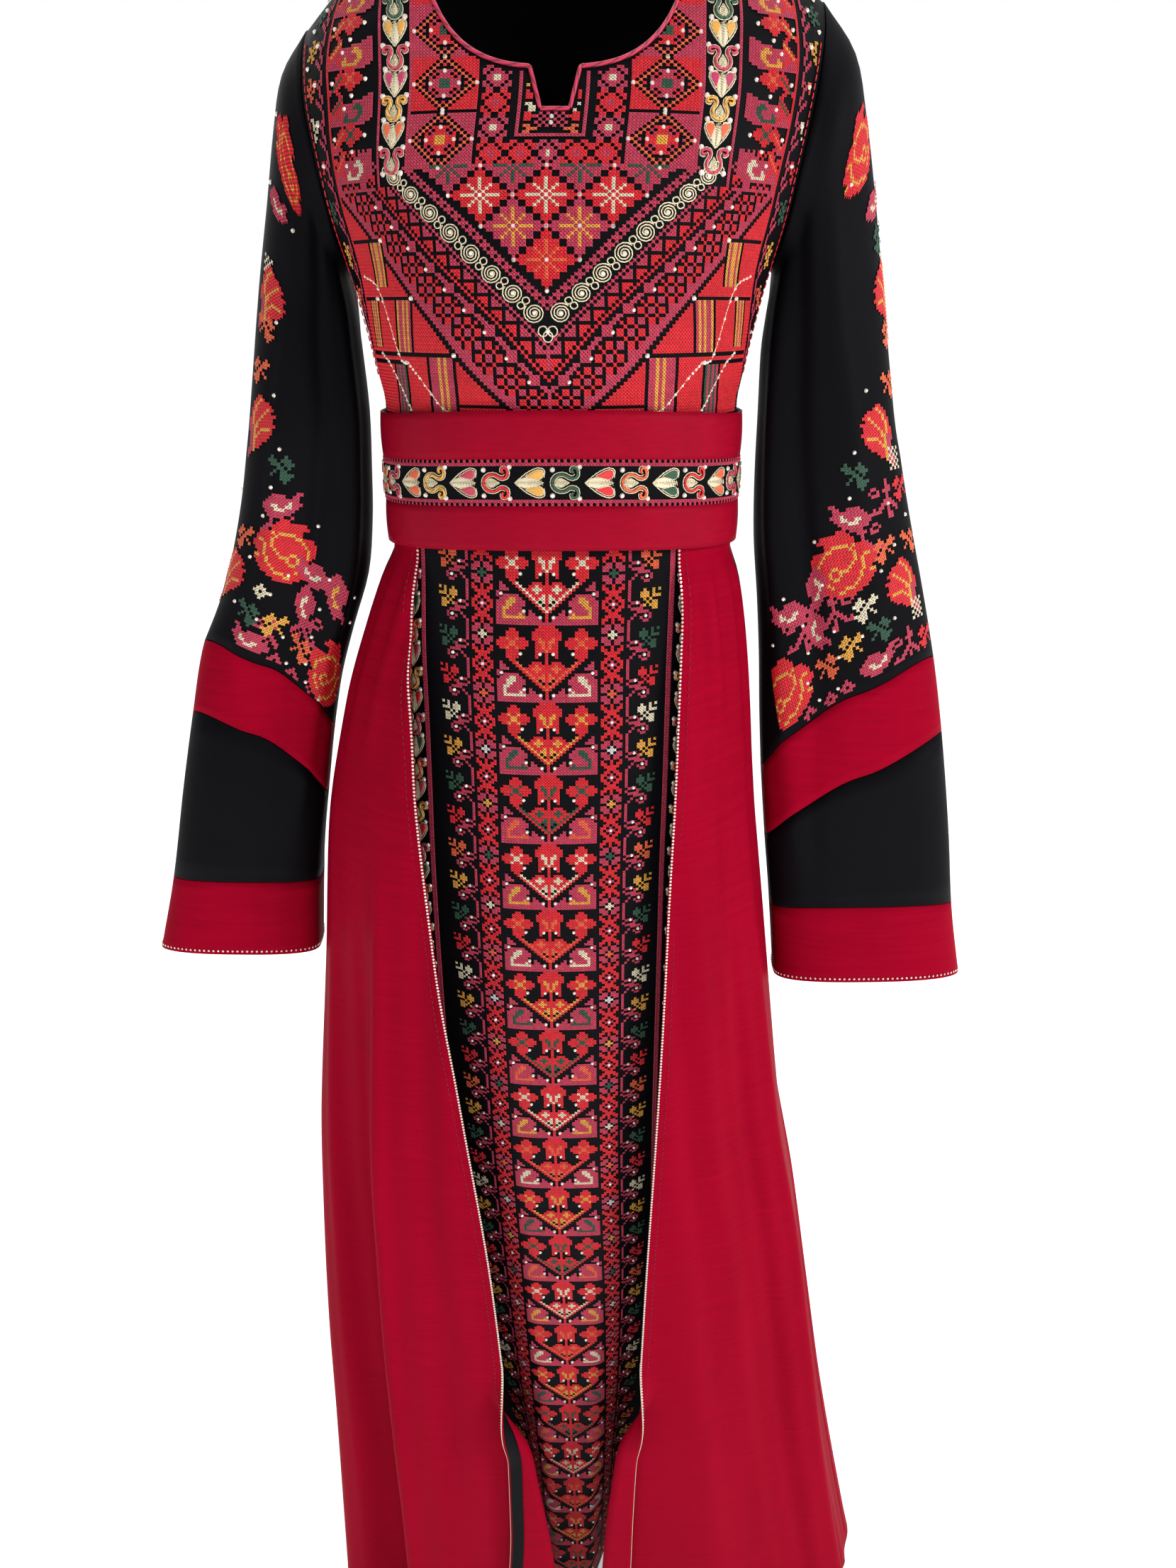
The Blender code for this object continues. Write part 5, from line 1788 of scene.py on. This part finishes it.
def arc(column, row, radius, start, end, steps):
    """Places along an arc on a canvas; its radius may change on the way."""
    angles = np.linspace(start, end, steps + 1)
    return np.stack([column + radius * np.cos(angles), row + radius * np.sin(angles)], axis=-1)


def both_sides(line):
    """A closed outline from its half, whose first and last points are on the middle line."""
    return line + [(-across, down) for across, down in line[-2:0:-1]]


def upright(column, row, scale=1.0):
    """Places a couched motif upright on a canvas, its top middle at this column and row."""
    return lambda points: np.array([(column + scale * across, row + scale * down) for across, down in points])


def sideways(column, row, scale):
    """Places a couched motif lying down, its top middle at this column and row and its tip to -X."""
    return lambda points: np.array([(column - scale * down, row + scale * across) for across, down in points])


COILS = 8
COIL_STEP = (5.85, 5.7)   # columns out and rows up from one coil to the next
BOW_STEP = (2.92, 2.85)   # and from a coil to its bow
TREFOIL_ROW = 78.2
SIDE_CORD_RADIUS = 0.0005
SIDE_CORDS = (((69, 62), (60, 66), (50, 84), (45, 86)), ((45, 86), (40, 90), (32, 99), (27, 101)),
              ((62, 84), (56, 87), (50, 94), (46, 100)))
STRIP_MOTIFS = [("scroll", -57.6, "P"), ("bulb", -49.2, "pink"), ("scroll", -40.9, "Y"), ("bulb", -32.6, "O"),
                ("scroll", -24.2, "G"), ("bulb", -15.8, "Y"), ("scroll", -7.8, "P"), ("bulb", 0.4, "pink"),
                ("scroll", 8.4, "Y"), ("bulb", 16.8, "O"), ("scroll", 25.0, "P")]


def bodice_needlework(canvas):
    work = Needlework(canvas, on_bodice)
    for side in (-1.0, 1.0):
        for kind, row, letter in STRIP_MOTIFS:
            getattr(work, kind)(upright(side * STRIP_COLUMN, row), letter)
        for k in range(COILS):
            column, row = side * (3.6 + COIL_STEP[0] * k), 73.3 - COIL_STEP[1] * k
            heading = math.atan2(-COIL_STEP[1], COIL_STEP[0] * side)
            work.spiral(column, row, heading)
            for bend in (0.5 * math.pi, -0.5 * math.pi):
                work.loop(column + side * BOW_STEP[0], row - BOW_STEP[1], heading + bend, 1.0)
        for middle, *_ in BLOCKS:
            for across, down in ((-9, 0), (9, 0), (0, -8.5), (0, 8.5), (0, -4), (0, 4), (-4, 0), (4, 0)):
                work.stone(side * (BLOCK_COLUMN + across), middle + down)
        for k in range(9):
            work.stone(side * (5.5 + 6 * k), 90.5 - 6 * k)
        for k in range(5):
            work.stone(side * 78.5, -24 + 13 * k, "round")
            work.stone(side * 83.5, -30 + 13 * k, "round")
        for row in BOX_ROWS:
            for across, down in ((3.5, 0.0), (12.0, 9.0), (17.0, 0.5), (9.0, 5.0)):
                work.stone(side * (BOX_COLUMN + across), row + down)
        for cord in SIDE_CORDS:
            cord = smooth_line(np.array(cord) * (side, 1.0), 24)
            for place in cord[::2]:
                work.stone(*place, "seed")
            work.line(work.gold, cord, SIDE_CORD_RADIUS, "gold")
        for columns, rows, _ in STRIPED_PATCHES:
            work.stone(side * (columns[1] + 1), rows[0] - 1, "large")
    for column, row in ((-18, 40), (0, 40), (18, 40), (-9, 49), (9, 49), (0, 58)):
        for across, down in ((-9, 0), (9, 0), (0, -9), (0, 9), (0, 0)):
            work.stone(column + across, row + down)
    for heading in (0.0, 0.5 * math.pi, math.pi):
        work.loop(0.0, TREFOIL_ROW, heading, 1.3)
    work.stone(0.0, TREFOIL_ROW, "large")
    for row in (16, 18, 4, 9):
        work.stone(0.0, row)
    return work


def skirt_needlework(canvas, last_row):
    work = Needlework(canvas)
    letters = ("Y", "R", "P", "G", "O", "P")
    for side, column in ((-1, -48.5), (1, 46.5)):
        for count in range(int(last_row / 8.4)):
            kind = ("scroll", "bulb")[count % 2]
            getattr(work, kind)(upright(column, 2.0 + 8.3 * count), letters[count % 6])
        for start, every, places in ((TREE_ROW, 26, ((8, -3), (2, -3), (14, 3.5), (7, 9), (2, 11))),
                                     (VINE_ROW, 13, ((27.5, 4), (30.5, 8.5))), (LOZENGE_ROW, 20, ((20, 6),))):
            for row in range(start, last_row - 5, every):
                for across, down in places:
                    if row + down > 2:
                        work.stone(side * across, row + down)
    return work


BELT_PITCH = 0.002
BELT_ROWS = 14
BELT_LAST_COLUMN = 174
BELT_COLOURS = "POYPRYGROGRO"


def belt_canvas():
    top_z = BELT_TOP_Z - BELT_UPPER_HEIGHT
    turns = np.radians(np.arange(-180, 181))
    grid = []
    for share in np.linspace(0.0, 1.0, BELT_ROWS + 1):
        z = top_z - (BELT_CENTRE_HEIGHT - SEAM_GAP) * share
        grid.append([belt_point(turn, z, BELT_BULGE * math.sin(math.pi * share)) for turn in turns])
    return Canvas("belt_centre_cloth", point_grid(grid), len(turns) // 2, np.arange(BELT_ROWS + 1),
                  lambda column, row: column * BELT_PITCH, 0, BELT_LAST_COLUMN, (0.0, 0.0, top_z))


def belt_chart():
    chart = {}
    for column in range(-BELT_LAST_COLUMN + 2, BELT_LAST_COLUMN - 1):
        for row in (1, 12):
            chart[(column, row)] = "P"
        if column % 2 == 0:
            chart[(column, 0)] = chart[(column, 13)] = "P"
    return chart


def belt_needlework(canvas):
    work = Needlework(canvas)
    for count in range(-17, 18):
        kind = ("bulb", "scroll")[count % 2]
        column = 10.87 * count - 4.7
        if abs(column) < BELT_LAST_COLUMN - 12:
            getattr(work, kind)(sideways(column, 6.5, 1.1), BELT_COLOURS[(count + 5) % 12])
    return work


# Sleeve motifs: the chart, the x and z of its middle, its light thread, and its turn (0 upright,
# 1 flipped, 2 a quarter turn, 3 both).
SLEEVE_MOTIFS = {
    "right": """
        SPRIG -0.193 -0.355 P 1, SPRIG -0.2091 -0.431 P 0, SPRIG -0.1811 -0.43 P 1,
        ROSE -0.1628 -0.1359 Y 1, LEAF -0.1723 -0.1617 C 1, CHECK -0.1828 -0.1964 C 0,
        BUD -0.1824 -0.2142 Y 1, FLORET -0.189 -0.2318 O 1, FLORET -0.1948 -0.2585 O 0,
        BUD -0.1963 -0.2901 Y 1, FLORET -0.1857 -0.32 G 1, LEAF -0.1875 -0.3419 C 1,
        FLORET -0.2182 -0.3661 O 0, ROSE -0.1887 -0.372 Y 1, BUD -0.2308 -0.3925 Y 1,
        RING -0.2072 -0.4004 C 0, LEAF -0.1574 -0.4083 Y 3, LEAF -0.1724 -0.3914 C 0,
        LEAF -0.1797 -0.4151 C 3, FLORET -0.2215 -0.4175 G 1, FLORET -0.2015 -0.427 Y 0,
        LEAF -0.2219 -0.4372 C 0, FLORET -0.1884 -0.4457 O 1, ROSE -0.1695 -0.4659 Y 0,
        RING -0.2044 -0.4522 P 0, RING -0.1944 -0.4642 P 0, RING -0.185 -0.4784 P 0""",
    "left": """
        SPRIG 0.215 -0.339 P 0, SPRIG 0.2062 -0.364 P 1, SPRIG 0.193 -0.415 P 1, SPRIG 0.166 -0.433 P 0,
        SPRIG 0.243 -0.4409 P 0, ROSE 0.1814 -0.1307 Y 1, LEAF 0.1954 -0.159 C 1,
        FLORET 0.2011 -0.1796 G 0, CHECK 0.2055 -0.1922 C 0, BUD 0.2065 -0.2116 Y 0,
        FLORET 0.2119 -0.235 O 0, FLORET 0.2141 -0.2662 O 1, BUD 0.2092 -0.2954 Y 0,
        CHECK 0.2225 -0.3112 C 0, FLORET 0.2293 -0.3333 R 0, FLORET 0.1954 -0.3249 G 1,
        LEAF 0.1942 -0.35 C 0, ROSE 0.1927 -0.3811 Y 0, FLORET 0.2211 -0.3736 O 0,
        FLORET 0.2389 -0.3679 O 1, BUD 0.235 -0.3987 Y 0, LEAF 0.1759 -0.4021 C 2,
        LEAF 0.1578 -0.4197 C 0, LEAF 0.18 -0.4294 C 3, FLORET 0.2105 -0.4124 C 0,
        FLORET 0.2211 -0.4293 G 1, FLORET 0.2031 -0.4409 Y 0, FLORET 0.1883 -0.4585 O 1,
        LEAF 0.2217 -0.451 C 1, ROSE 0.1599 -0.4761 Y 0, CHECK 0.2499 -0.4126 C 0,
        FLORET 0.2583 -0.4365 R 0, RING 0.2046 -0.4682 P 0, RING 0.192 -0.4791 P 0,
        RING 0.1801 -0.4907 P 0""",
}
SLEEVE_STONES = {
    "right": table("x z", [
        (-0.1839, -0.3033), (-0.1914, -0.3291), (-0.2191, -0.3345), (-0.1994, -0.3495), (-0.1652, -0.3578),
        (-0.1859, -0.3891), (-0.1597, -0.3938), (-0.2131, -0.3777), (-0.2004, -0.4021), (-0.1687, -0.4138),
        (-0.1478, -0.4093), (-0.2288, -0.4088), (-0.2116, -0.4218), (-0.1969, -0.434), (-0.1765, -0.4342),
        (-0.1534, -0.4288), (-0.1956, -0.4548), (-0.1833, -0.4554), (-0.1845, -0.4694), (-0.1778, -0.4834),
        (-0.1629, -0.1753), (-0.1842, -0.2715), (-0.1779, -0.2281), (-0.1685, -0.1111), (-0.1766, -0.1478),
    ]),
    "left": table("x z", [
        (0.194, -0.3071), (0.1934, -0.337), (0.2214, -0.3403), (0.2348, -0.3496), (0.2284, -0.3674),
        (0.219, -0.385), (0.1812, -0.3951), (0.1558, -0.4056), (0.2028, -0.4116), (0.2315, -0.4187),
        (0.17, -0.4261), (0.1915, -0.427), (0.2099, -0.4314), (0.1507, -0.4413), (0.174, -0.4446),
        (0.1952, -0.4466), (0.1762, -0.4687), (0.1973, -0.4705), (0.1853, -0.4808), (0.1734, -0.3658),
        (0.1774, -0.1494), (0.2005, -0.1679), (0.1981, -0.2692),
    ]),
}
CHECK = ["f.f.f", ".f.f."] * 3 + ["f.f.f"]
SLEEVE_ART = {"ROSE": ROSE, "LEAF": LEAF, "BUD": BUD, "FLORET": FLORET, "CHECK": CHECK, "RING": RING,
              "SPRIG": SPRIG}
SLEEVE_PITCH = 0.0023
SLEEVE_LAST_COLUMN = 68


def sleeve_canvas(side):
    """The upper sleeve, its columns counted both ways from the line along its outer side."""
    rows = sleeve_upper_rows(side)
    middle = SLEEVE_COLUMNS // 2
    ring = np.concatenate([rows[:, middle:], rows[:, :middle + 1]], axis=1)
    if side == "right":
        ring = ring[:, ::-1]
    levels = counted_rows(ring[:, middle], SLEEVE_PITCH)
    inside = (dict(SIDES)[side] * 0.18, 0.0, -0.3)
    canvas = Canvas("sleeve_upper_" + side + "_cloth", ring, middle, levels,
                    lambda column, row: column * SLEEVE_PITCH, 0, SLEEVE_LAST_COLUMN, inside)
    return canvas, len(levels) - 2


def turned(art, turn):
    if turn >= 2:
        width = max(len(line) for line in art)
        art = ["".join(line.ljust(width, ".")[k] for line in art[::-1]) for k in range(width)]
    return [line[::-1] for line in art] if turn % 2 else art


def sleeve_chart(side, canvas, last_row):
    chart = {}
    for motif in SLEEVE_MOTIFS[side].split(","):
        kind, x, z, light, turn = motif.split()
        art = turned(SLEEVE_ART[kind], int(turn))
        column, row = canvas.nearest(float(x), float(z))
        paint(chart, art, column - len(art[0]) // 2, row - len(art) // 2, dict.fromkeys("ycf", light))
    return {cell: letter for cell, letter in chart.items() if 5 <= cell[1] <= last_row}


def on_sleeve(side):
    """Keeps embroidery clear of the seam where the red band starts."""
    def belongs(point):
        outer = read(SLEEVE[side], "outer_x", point[2])
        span = outer - read(SLEEVE[side], "inner_x", point[2])
        share = min(max((outer - abs(point[0])) / span, 0.0), 1.0)
        turn = math.copysign(math.acos(1.0 - 2.0 * share), -point[1])
        return point[2] > seam_z(side, "band_top", turn) + 0.006
    return belongs


def sleeve_needlework(side, canvas):
    work = Needlework(canvas)
    stones = SLEEVE_STONES[side]
    for x, z in zip(stones["x"], stones["z"]):
        work.stone(*canvas.nearest(x, z), "round")
    return work


# ---- edges


def along_path(points, spacing):
    """Places this far apart along a line of points, as fractions of its rows."""
    arcs = arc_lengths(points, 0)
    count = int(arcs[-1] / spacing)
    return np.interp(np.arange(count) * spacing + 0.5 * spacing, arcs, np.arange(len(points)))


def rows_between(grid, places):
    low = np.minimum(places.astype(int), len(grid) - 2)
    share = (places - low)[:, None]
    return grid[low] * (1.0 - share) + grid[low + 1] * share


def way_out(points, inward, row):
    """The way out of the cloth's face all along an edge; at this row it is the way forward."""
    out = unit(np.cross(np.gradient(points, axis=0), inward))
    return -out if out[row][1] > 0.0 else out


def front_edge(side):
    """The free edge of an overskirt front, the way in from it, and the way out of its cloth."""
    heights = np.linspace(BELT_TOP_Z - 0.088, OVERSKIRT_HEM_Z + 0.001, 300)
    edges = [rolled_edge(side, z)[1] for z in heights]
    edge = np.array([tuple(points[-1]) for points in edges])
    inward = unit(np.array([tuple(points[-3] - points[-1]) for points in edges]))
    return edge, inward, way_out(edge, inward, 0)


def stone_chain(line, out, spacing, lift, radius):
    """Stones one after another along a line."""
    places = along_path(line, spacing)
    ups = rows_between(out, places)
    return [(point, up, radius) for point, up in zip(rows_between(line, places) + ups * lift, ups)]


def running_stitch(line, out, spacing, reach, lift, radius, letter):
    """Stitches one after another along a line; each reaches this many of its points both ways."""
    stitches = []
    for place in along_path(line, spacing):
        ends = np.array([place - reach, place, place + reach]).clip(0, len(line) - 1.01)
        ups = rows_between(out, ends)
        stitches.append((rows_between(line, ends) + ups * lift, ups, radius, letter))
    return stitches


def trim_front_edges(finishes):
    stones, ropes, topstitch = [], [], []
    for side, _ in SIDES:
        edge, inward, out = front_edge(side)
        stones += stone_chain(edge + inward * 0.0004, out, spacing=CHAIN_SPACING, lift=0.0003,
                              radius=CHAIN_STONE_RADIUS)
        rolled = edge[:, 2] < ROLL_START_Z
        rope = edge[rolled] - inward[rolled] * 0.0003
        ropes.append((rope[::2], out[rolled][::2], ZIGZAG_RADIUS, "gold"))
        topstitch += running_stitch(edge + inward * 0.0065, out, spacing=0.0048, reach=0.32, lift=0.00012,
                                    radius=0.00032, letter="deep")
    make_stones("front_edge_stones", stones, finishes["stone"])
    make_cords("front_edge_cord", ropes, finishes["gold"])
    make_cords("front_edge_topstitch", topstitch, finishes["silk"], sides=4)


def make_tape(side, finish):
    """Black tape facing the inside of an overskirt front, where its edge rolls forward."""
    name = "facing_tape_" + side
    edge, inward, reach = [], [], []
    for z in np.linspace(ROLL_START_Z, OVERSKIRT_HEM_Z + 0.003, 50):
        line = point_grid([rolled_edge(side, z)[1]])[0]
        edge.append(line[-1])
        inward.append(unit(line[-4] - line[-1]))
        reach.append(min(TAPE_WIDTH, np.linalg.norm(line[-LAP_STEPS - 1] - line[-1]) * 0.9))
    edge, inward = np.array(edge), np.array(inward)
    shares = np.linspace(0.0, 1.0, 5)
    across = (0.0015 + np.outer(reach, shares))[..., None]
    out = way_out(edge, inward, -1)
    grid = edge[:, None] + inward[:, None] * across + out[:, None] * (SATIN + 0.0007)
    faces = grid_faces(len(grid), len(shares), False)
    thicken(new_piece(name, grid, faces.tolist(), finish, "black_crepe"), TAPE_WALL, 0.0)


def cuff_chain(side, finishes):
    """Small stones round the sleeve, just above its hem."""
    turns = np.radians(np.arange(360))
    ring = np.array([tuple(sleeve_point(side, turn, seam_z(side, "hem", turn) + 0.0035)) for turn in turns])
    outward = unit((ring - ring.mean(axis=0)) * (1.0, 1.0, 0.0))
    rise = [sleeve_crease(side, turn, point[2]) + 0.0003 for turn, point in zip(turns, ring)]
    ring += outward * np.array(rise)[:, None]
    stones = stone_chain(ring, outward, spacing=0.0038, lift=0.0, radius=0.0009)
    make_stones("cuff_stones_" + side, stones, finishes["stone"])


def neck_piping(finish):
    """A rolled cord of red cloth round the neckline and its notch, in runs with sharp corners between."""
    def flip(run):
        return [(-x, z) for x, z in run[::-1]]

    front = [(abs(x), z) for x, z in front_neck()]
    curve, notch_side = front[2:], [front[1], front[2]]
    around = back_neck()[::-1] + flip(back_neck()[::-1])[1:]
    notch_bottom = flip(front[1:2]) + front[1:2]
    runs = [(run, 0.0) for run in (flip(curve), flip(notch_side), notch_bottom, notch_side, curve)]
    cords = []
    for run, behind in runs + [(around, math.pi)]:
        points = []
        for x, z in run:
            angle = abs(behind - torso_angle(x, z))
            points.append(tuple(torso_point(math.copysign(angle, x), z)))
        points = smooth_line(points, max(12, 6 * len(points)))
        outward = unit((points - (0.0, 0.0, -0.06)) * (1.0, 1.0, 0.2))
        cords.append((points + outward * 0.0006, outward, 0.0012, "piping"))
    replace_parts(make_cords("neck_piping", cords, finish, sides=10), "neck_binding")


def armhole_running_line(finishes):
    """Red running stitch beside each armhole seam, on the bodice."""
    stitches = []
    for side, sign in SIDES:
        line, out = [], []
        for z in np.linspace(-0.075, -0.262, 160):
            point = torso_point(sign * torso_angle(armhole_x(side, z) - 0.003, z), z)
            line.append(tuple(point))
            out.append((point.x * 0.7, point.y, 0.0))
        stitches += running_stitch(np.array(line), unit(np.array(out)), spacing=0.0052, reach=1.5,
                                   lift=0.0006, radius=0.00045, letter="R")
    make_cords("armhole_running_stitch", stitches, finishes["silk"], sides=5)


# ---- how each sheet of cloth is held

# How each cloth is held, what it lies on or hangs from, and the first words of the pieces sewn on it.
SHEETS = [
    ("bodice_front_cloth", "hung", (), ("bodice_cross_", "bodice_gold_", "bodice_silk_", "bodice_stones",
                                        "neck_piping", "armhole_")),
    ("bodice_back_cloth", "hung", (), ()),
]
for part, above, words in (("sleeve_upper_", "bodice_front", ("sleeve_cross_stitch_{}", "sleeve_{}_")),
                           ("sleeve_band_", "sleeve_upper_{}", ()),
                           ("sleeve_lower_", "sleeve_band_{}", ()),
                           ("cuff_band_", "sleeve_lower_{}", ("cuff_stones_{}",))):
    for side, _ in SIDES:
        SHEETS.append((part + side + "_cloth", "hung", (above.format(side) + "_cloth",),
                       tuple(word.format(side) for word in words)))
SHEETS += [
    ("belt_upper_cloth", "stretched", ("bodice_front_cloth",), ()),
    ("belt_centre_cloth", "stretched", ("bodice_front_cloth",), ("belt_cross_", "belt_gold_", "belt_silk_",
                                                                "belt_stones")),
    ("belt_lower_cloth", "stretched", ("bodice_front_cloth",), ()),
    ("underskirt_front_cloth", "hung", ("bodice_front_cloth",), ("skirt_",)),
    ("underskirt_back_cloth", "hung", ("bodice_back_cloth",), ()),
    ("overskirt_front_left_cloth", "gathered", ("belt_lower_cloth",), ("front_edge_",)),
    ("overskirt_front_right_cloth", "gathered", ("belt_lower_cloth",), ()),
    ("overskirt_back_cloth", "gathered", ("belt_lower_cloth",), ()),
    ("facing_tape_right", "laid", ("overskirt_front_right_cloth",), ()),
]


# ---- light, floor and camera


def make_stage():
    bpy.ops.mesh.primitive_plane_add(size=80.0, location=(0.0, 3.0, OVERSKIRT_HEM_Z - 0.003))
    floor = bpy.context.object
    floor.name = "floor"
    made, tree, shader = new_finish("pale_floor", (0.9, 0.9, 0.9), 0.8)
    feed(tree, shader.inputs["Emission Color"], (1.0, 1.0, 1.0))
    shader.inputs["Emission Strength"].default_value = 0.46
    floor.data.materials.append(made)
    world = bpy.data.worlds.new("studio")
    bpy.context.scene.world = world
    world.use_nodes = True
    tree = world.node_tree
    way = add_node(tree, "ShaderNodeTexCoord", {}).outputs["Generated"]
    forward = add_node(tree, "ShaderNodeSeparateXYZ", {"Vector": way}).outputs["Y"]
    behind = maths(tree, "MULTIPLY_ADD", forward, 0.9, 0.55)
    behind.node.use_clamp = True
    sky = mixed(tree, behind, (0.24, 0.25, 0.27), (1.0, 1.0, 1.0))
    feed(tree, tree.nodes["Background"].inputs["Color"], sky)
    for name, place, size, power in LIGHTS:
        light = bpy.data.lights.new(name, "AREA")
        light.shape = "RECTANGLE"
        light.size, light.size_y = size
        light.energy = power
        lamp = bpy.data.objects.new(name, light)
        bpy.context.scene.collection.objects.link(lamp)
        lamp.location = place
        lamp.rotation_euler = (Vector(LIGHTS_AIM) - Vector(place)).to_track_quat("-Z", "Y").to_euler()
    camera = bpy.data.cameras.new("camera")
    camera.lens = CAMERA_LENS
    camera.clip_start, camera.clip_end = 0.05, 50.0
    holder = bpy.data.objects.new("camera", camera)
    bpy.context.scene.collection.objects.link(holder)
    holder.location = CAMERA_PLACE
    holder.rotation_euler = (math.radians(CAMERA_PITCH), 0.0, 0.0)
    bpy.context.scene.camera = holder
    bpy.context.scene.view_settings.view_transform = "Standard"


# ---- the dress

crepe_cloth = crepe_finish()
satin_cloth = satin_finish("crimson_satin_cloth", (0.08, 0.08, 1.6), 0.01)
belt_satin_cloth = satin_finish("belt_satin_cloth", (0.3, 0.3, 2.0), 0.1)
make_cloth((crepe_cloth, "black_crepe", CREPE), (satin_cloth, "crimson_satin", SATIN),
           (belt_satin_cloth, "crimson_satin", BELT_WALL), (crepe_cloth, "belt_strip", BELT_WALL))

cross_thread = stitch_finish()
finishes = {"gold": cord_finish("gold_cord", metallic=0.45, roughness=0.36, turns=0.9),
            "silk": cord_finish("plied_thread", metallic=0.0, roughness=0.5, turns=0.8),
            "patch": silk_finish(), "stone": stone_finish()}

bodice = bodice_canvas()
cross_stitch("bodice_cross_stitch", bodice, kept(bodice_chart(), bodice, on_bodice), cross_thread)
bodice_needlework(bodice).make("bodice", finishes)
skirt, skirt_rows = skirt_canvas()
cross_stitch("skirt_cross_stitch", skirt, skirt_chart(skirt_rows), cross_thread)
skirt_needlework(skirt, skirt_rows).make("skirt", finishes)
belt = belt_canvas()
cross_stitch("belt_cross_stitch", belt, belt_chart(), cross_thread)
belt_needlework(belt).make("belt", finishes)
for side, _ in SIDES:
    sleeve, sleeve_rows = sleeve_canvas(side)
    chart = kept(sleeve_chart(side, sleeve, sleeve_rows), sleeve, on_sleeve(side))
    cross_stitch("sleeve_cross_stitch_" + side, sleeve, chart, cross_thread)
    sleeve_needlework(side, sleeve).make("sleeve_" + side, finishes)
    cuff_chain(side, finishes)
make_tape("right", crepe_cloth)
trim_front_edges(finishes)
armhole_running_line(finishes)
neck_piping(finishes["silk"])
make_stage()
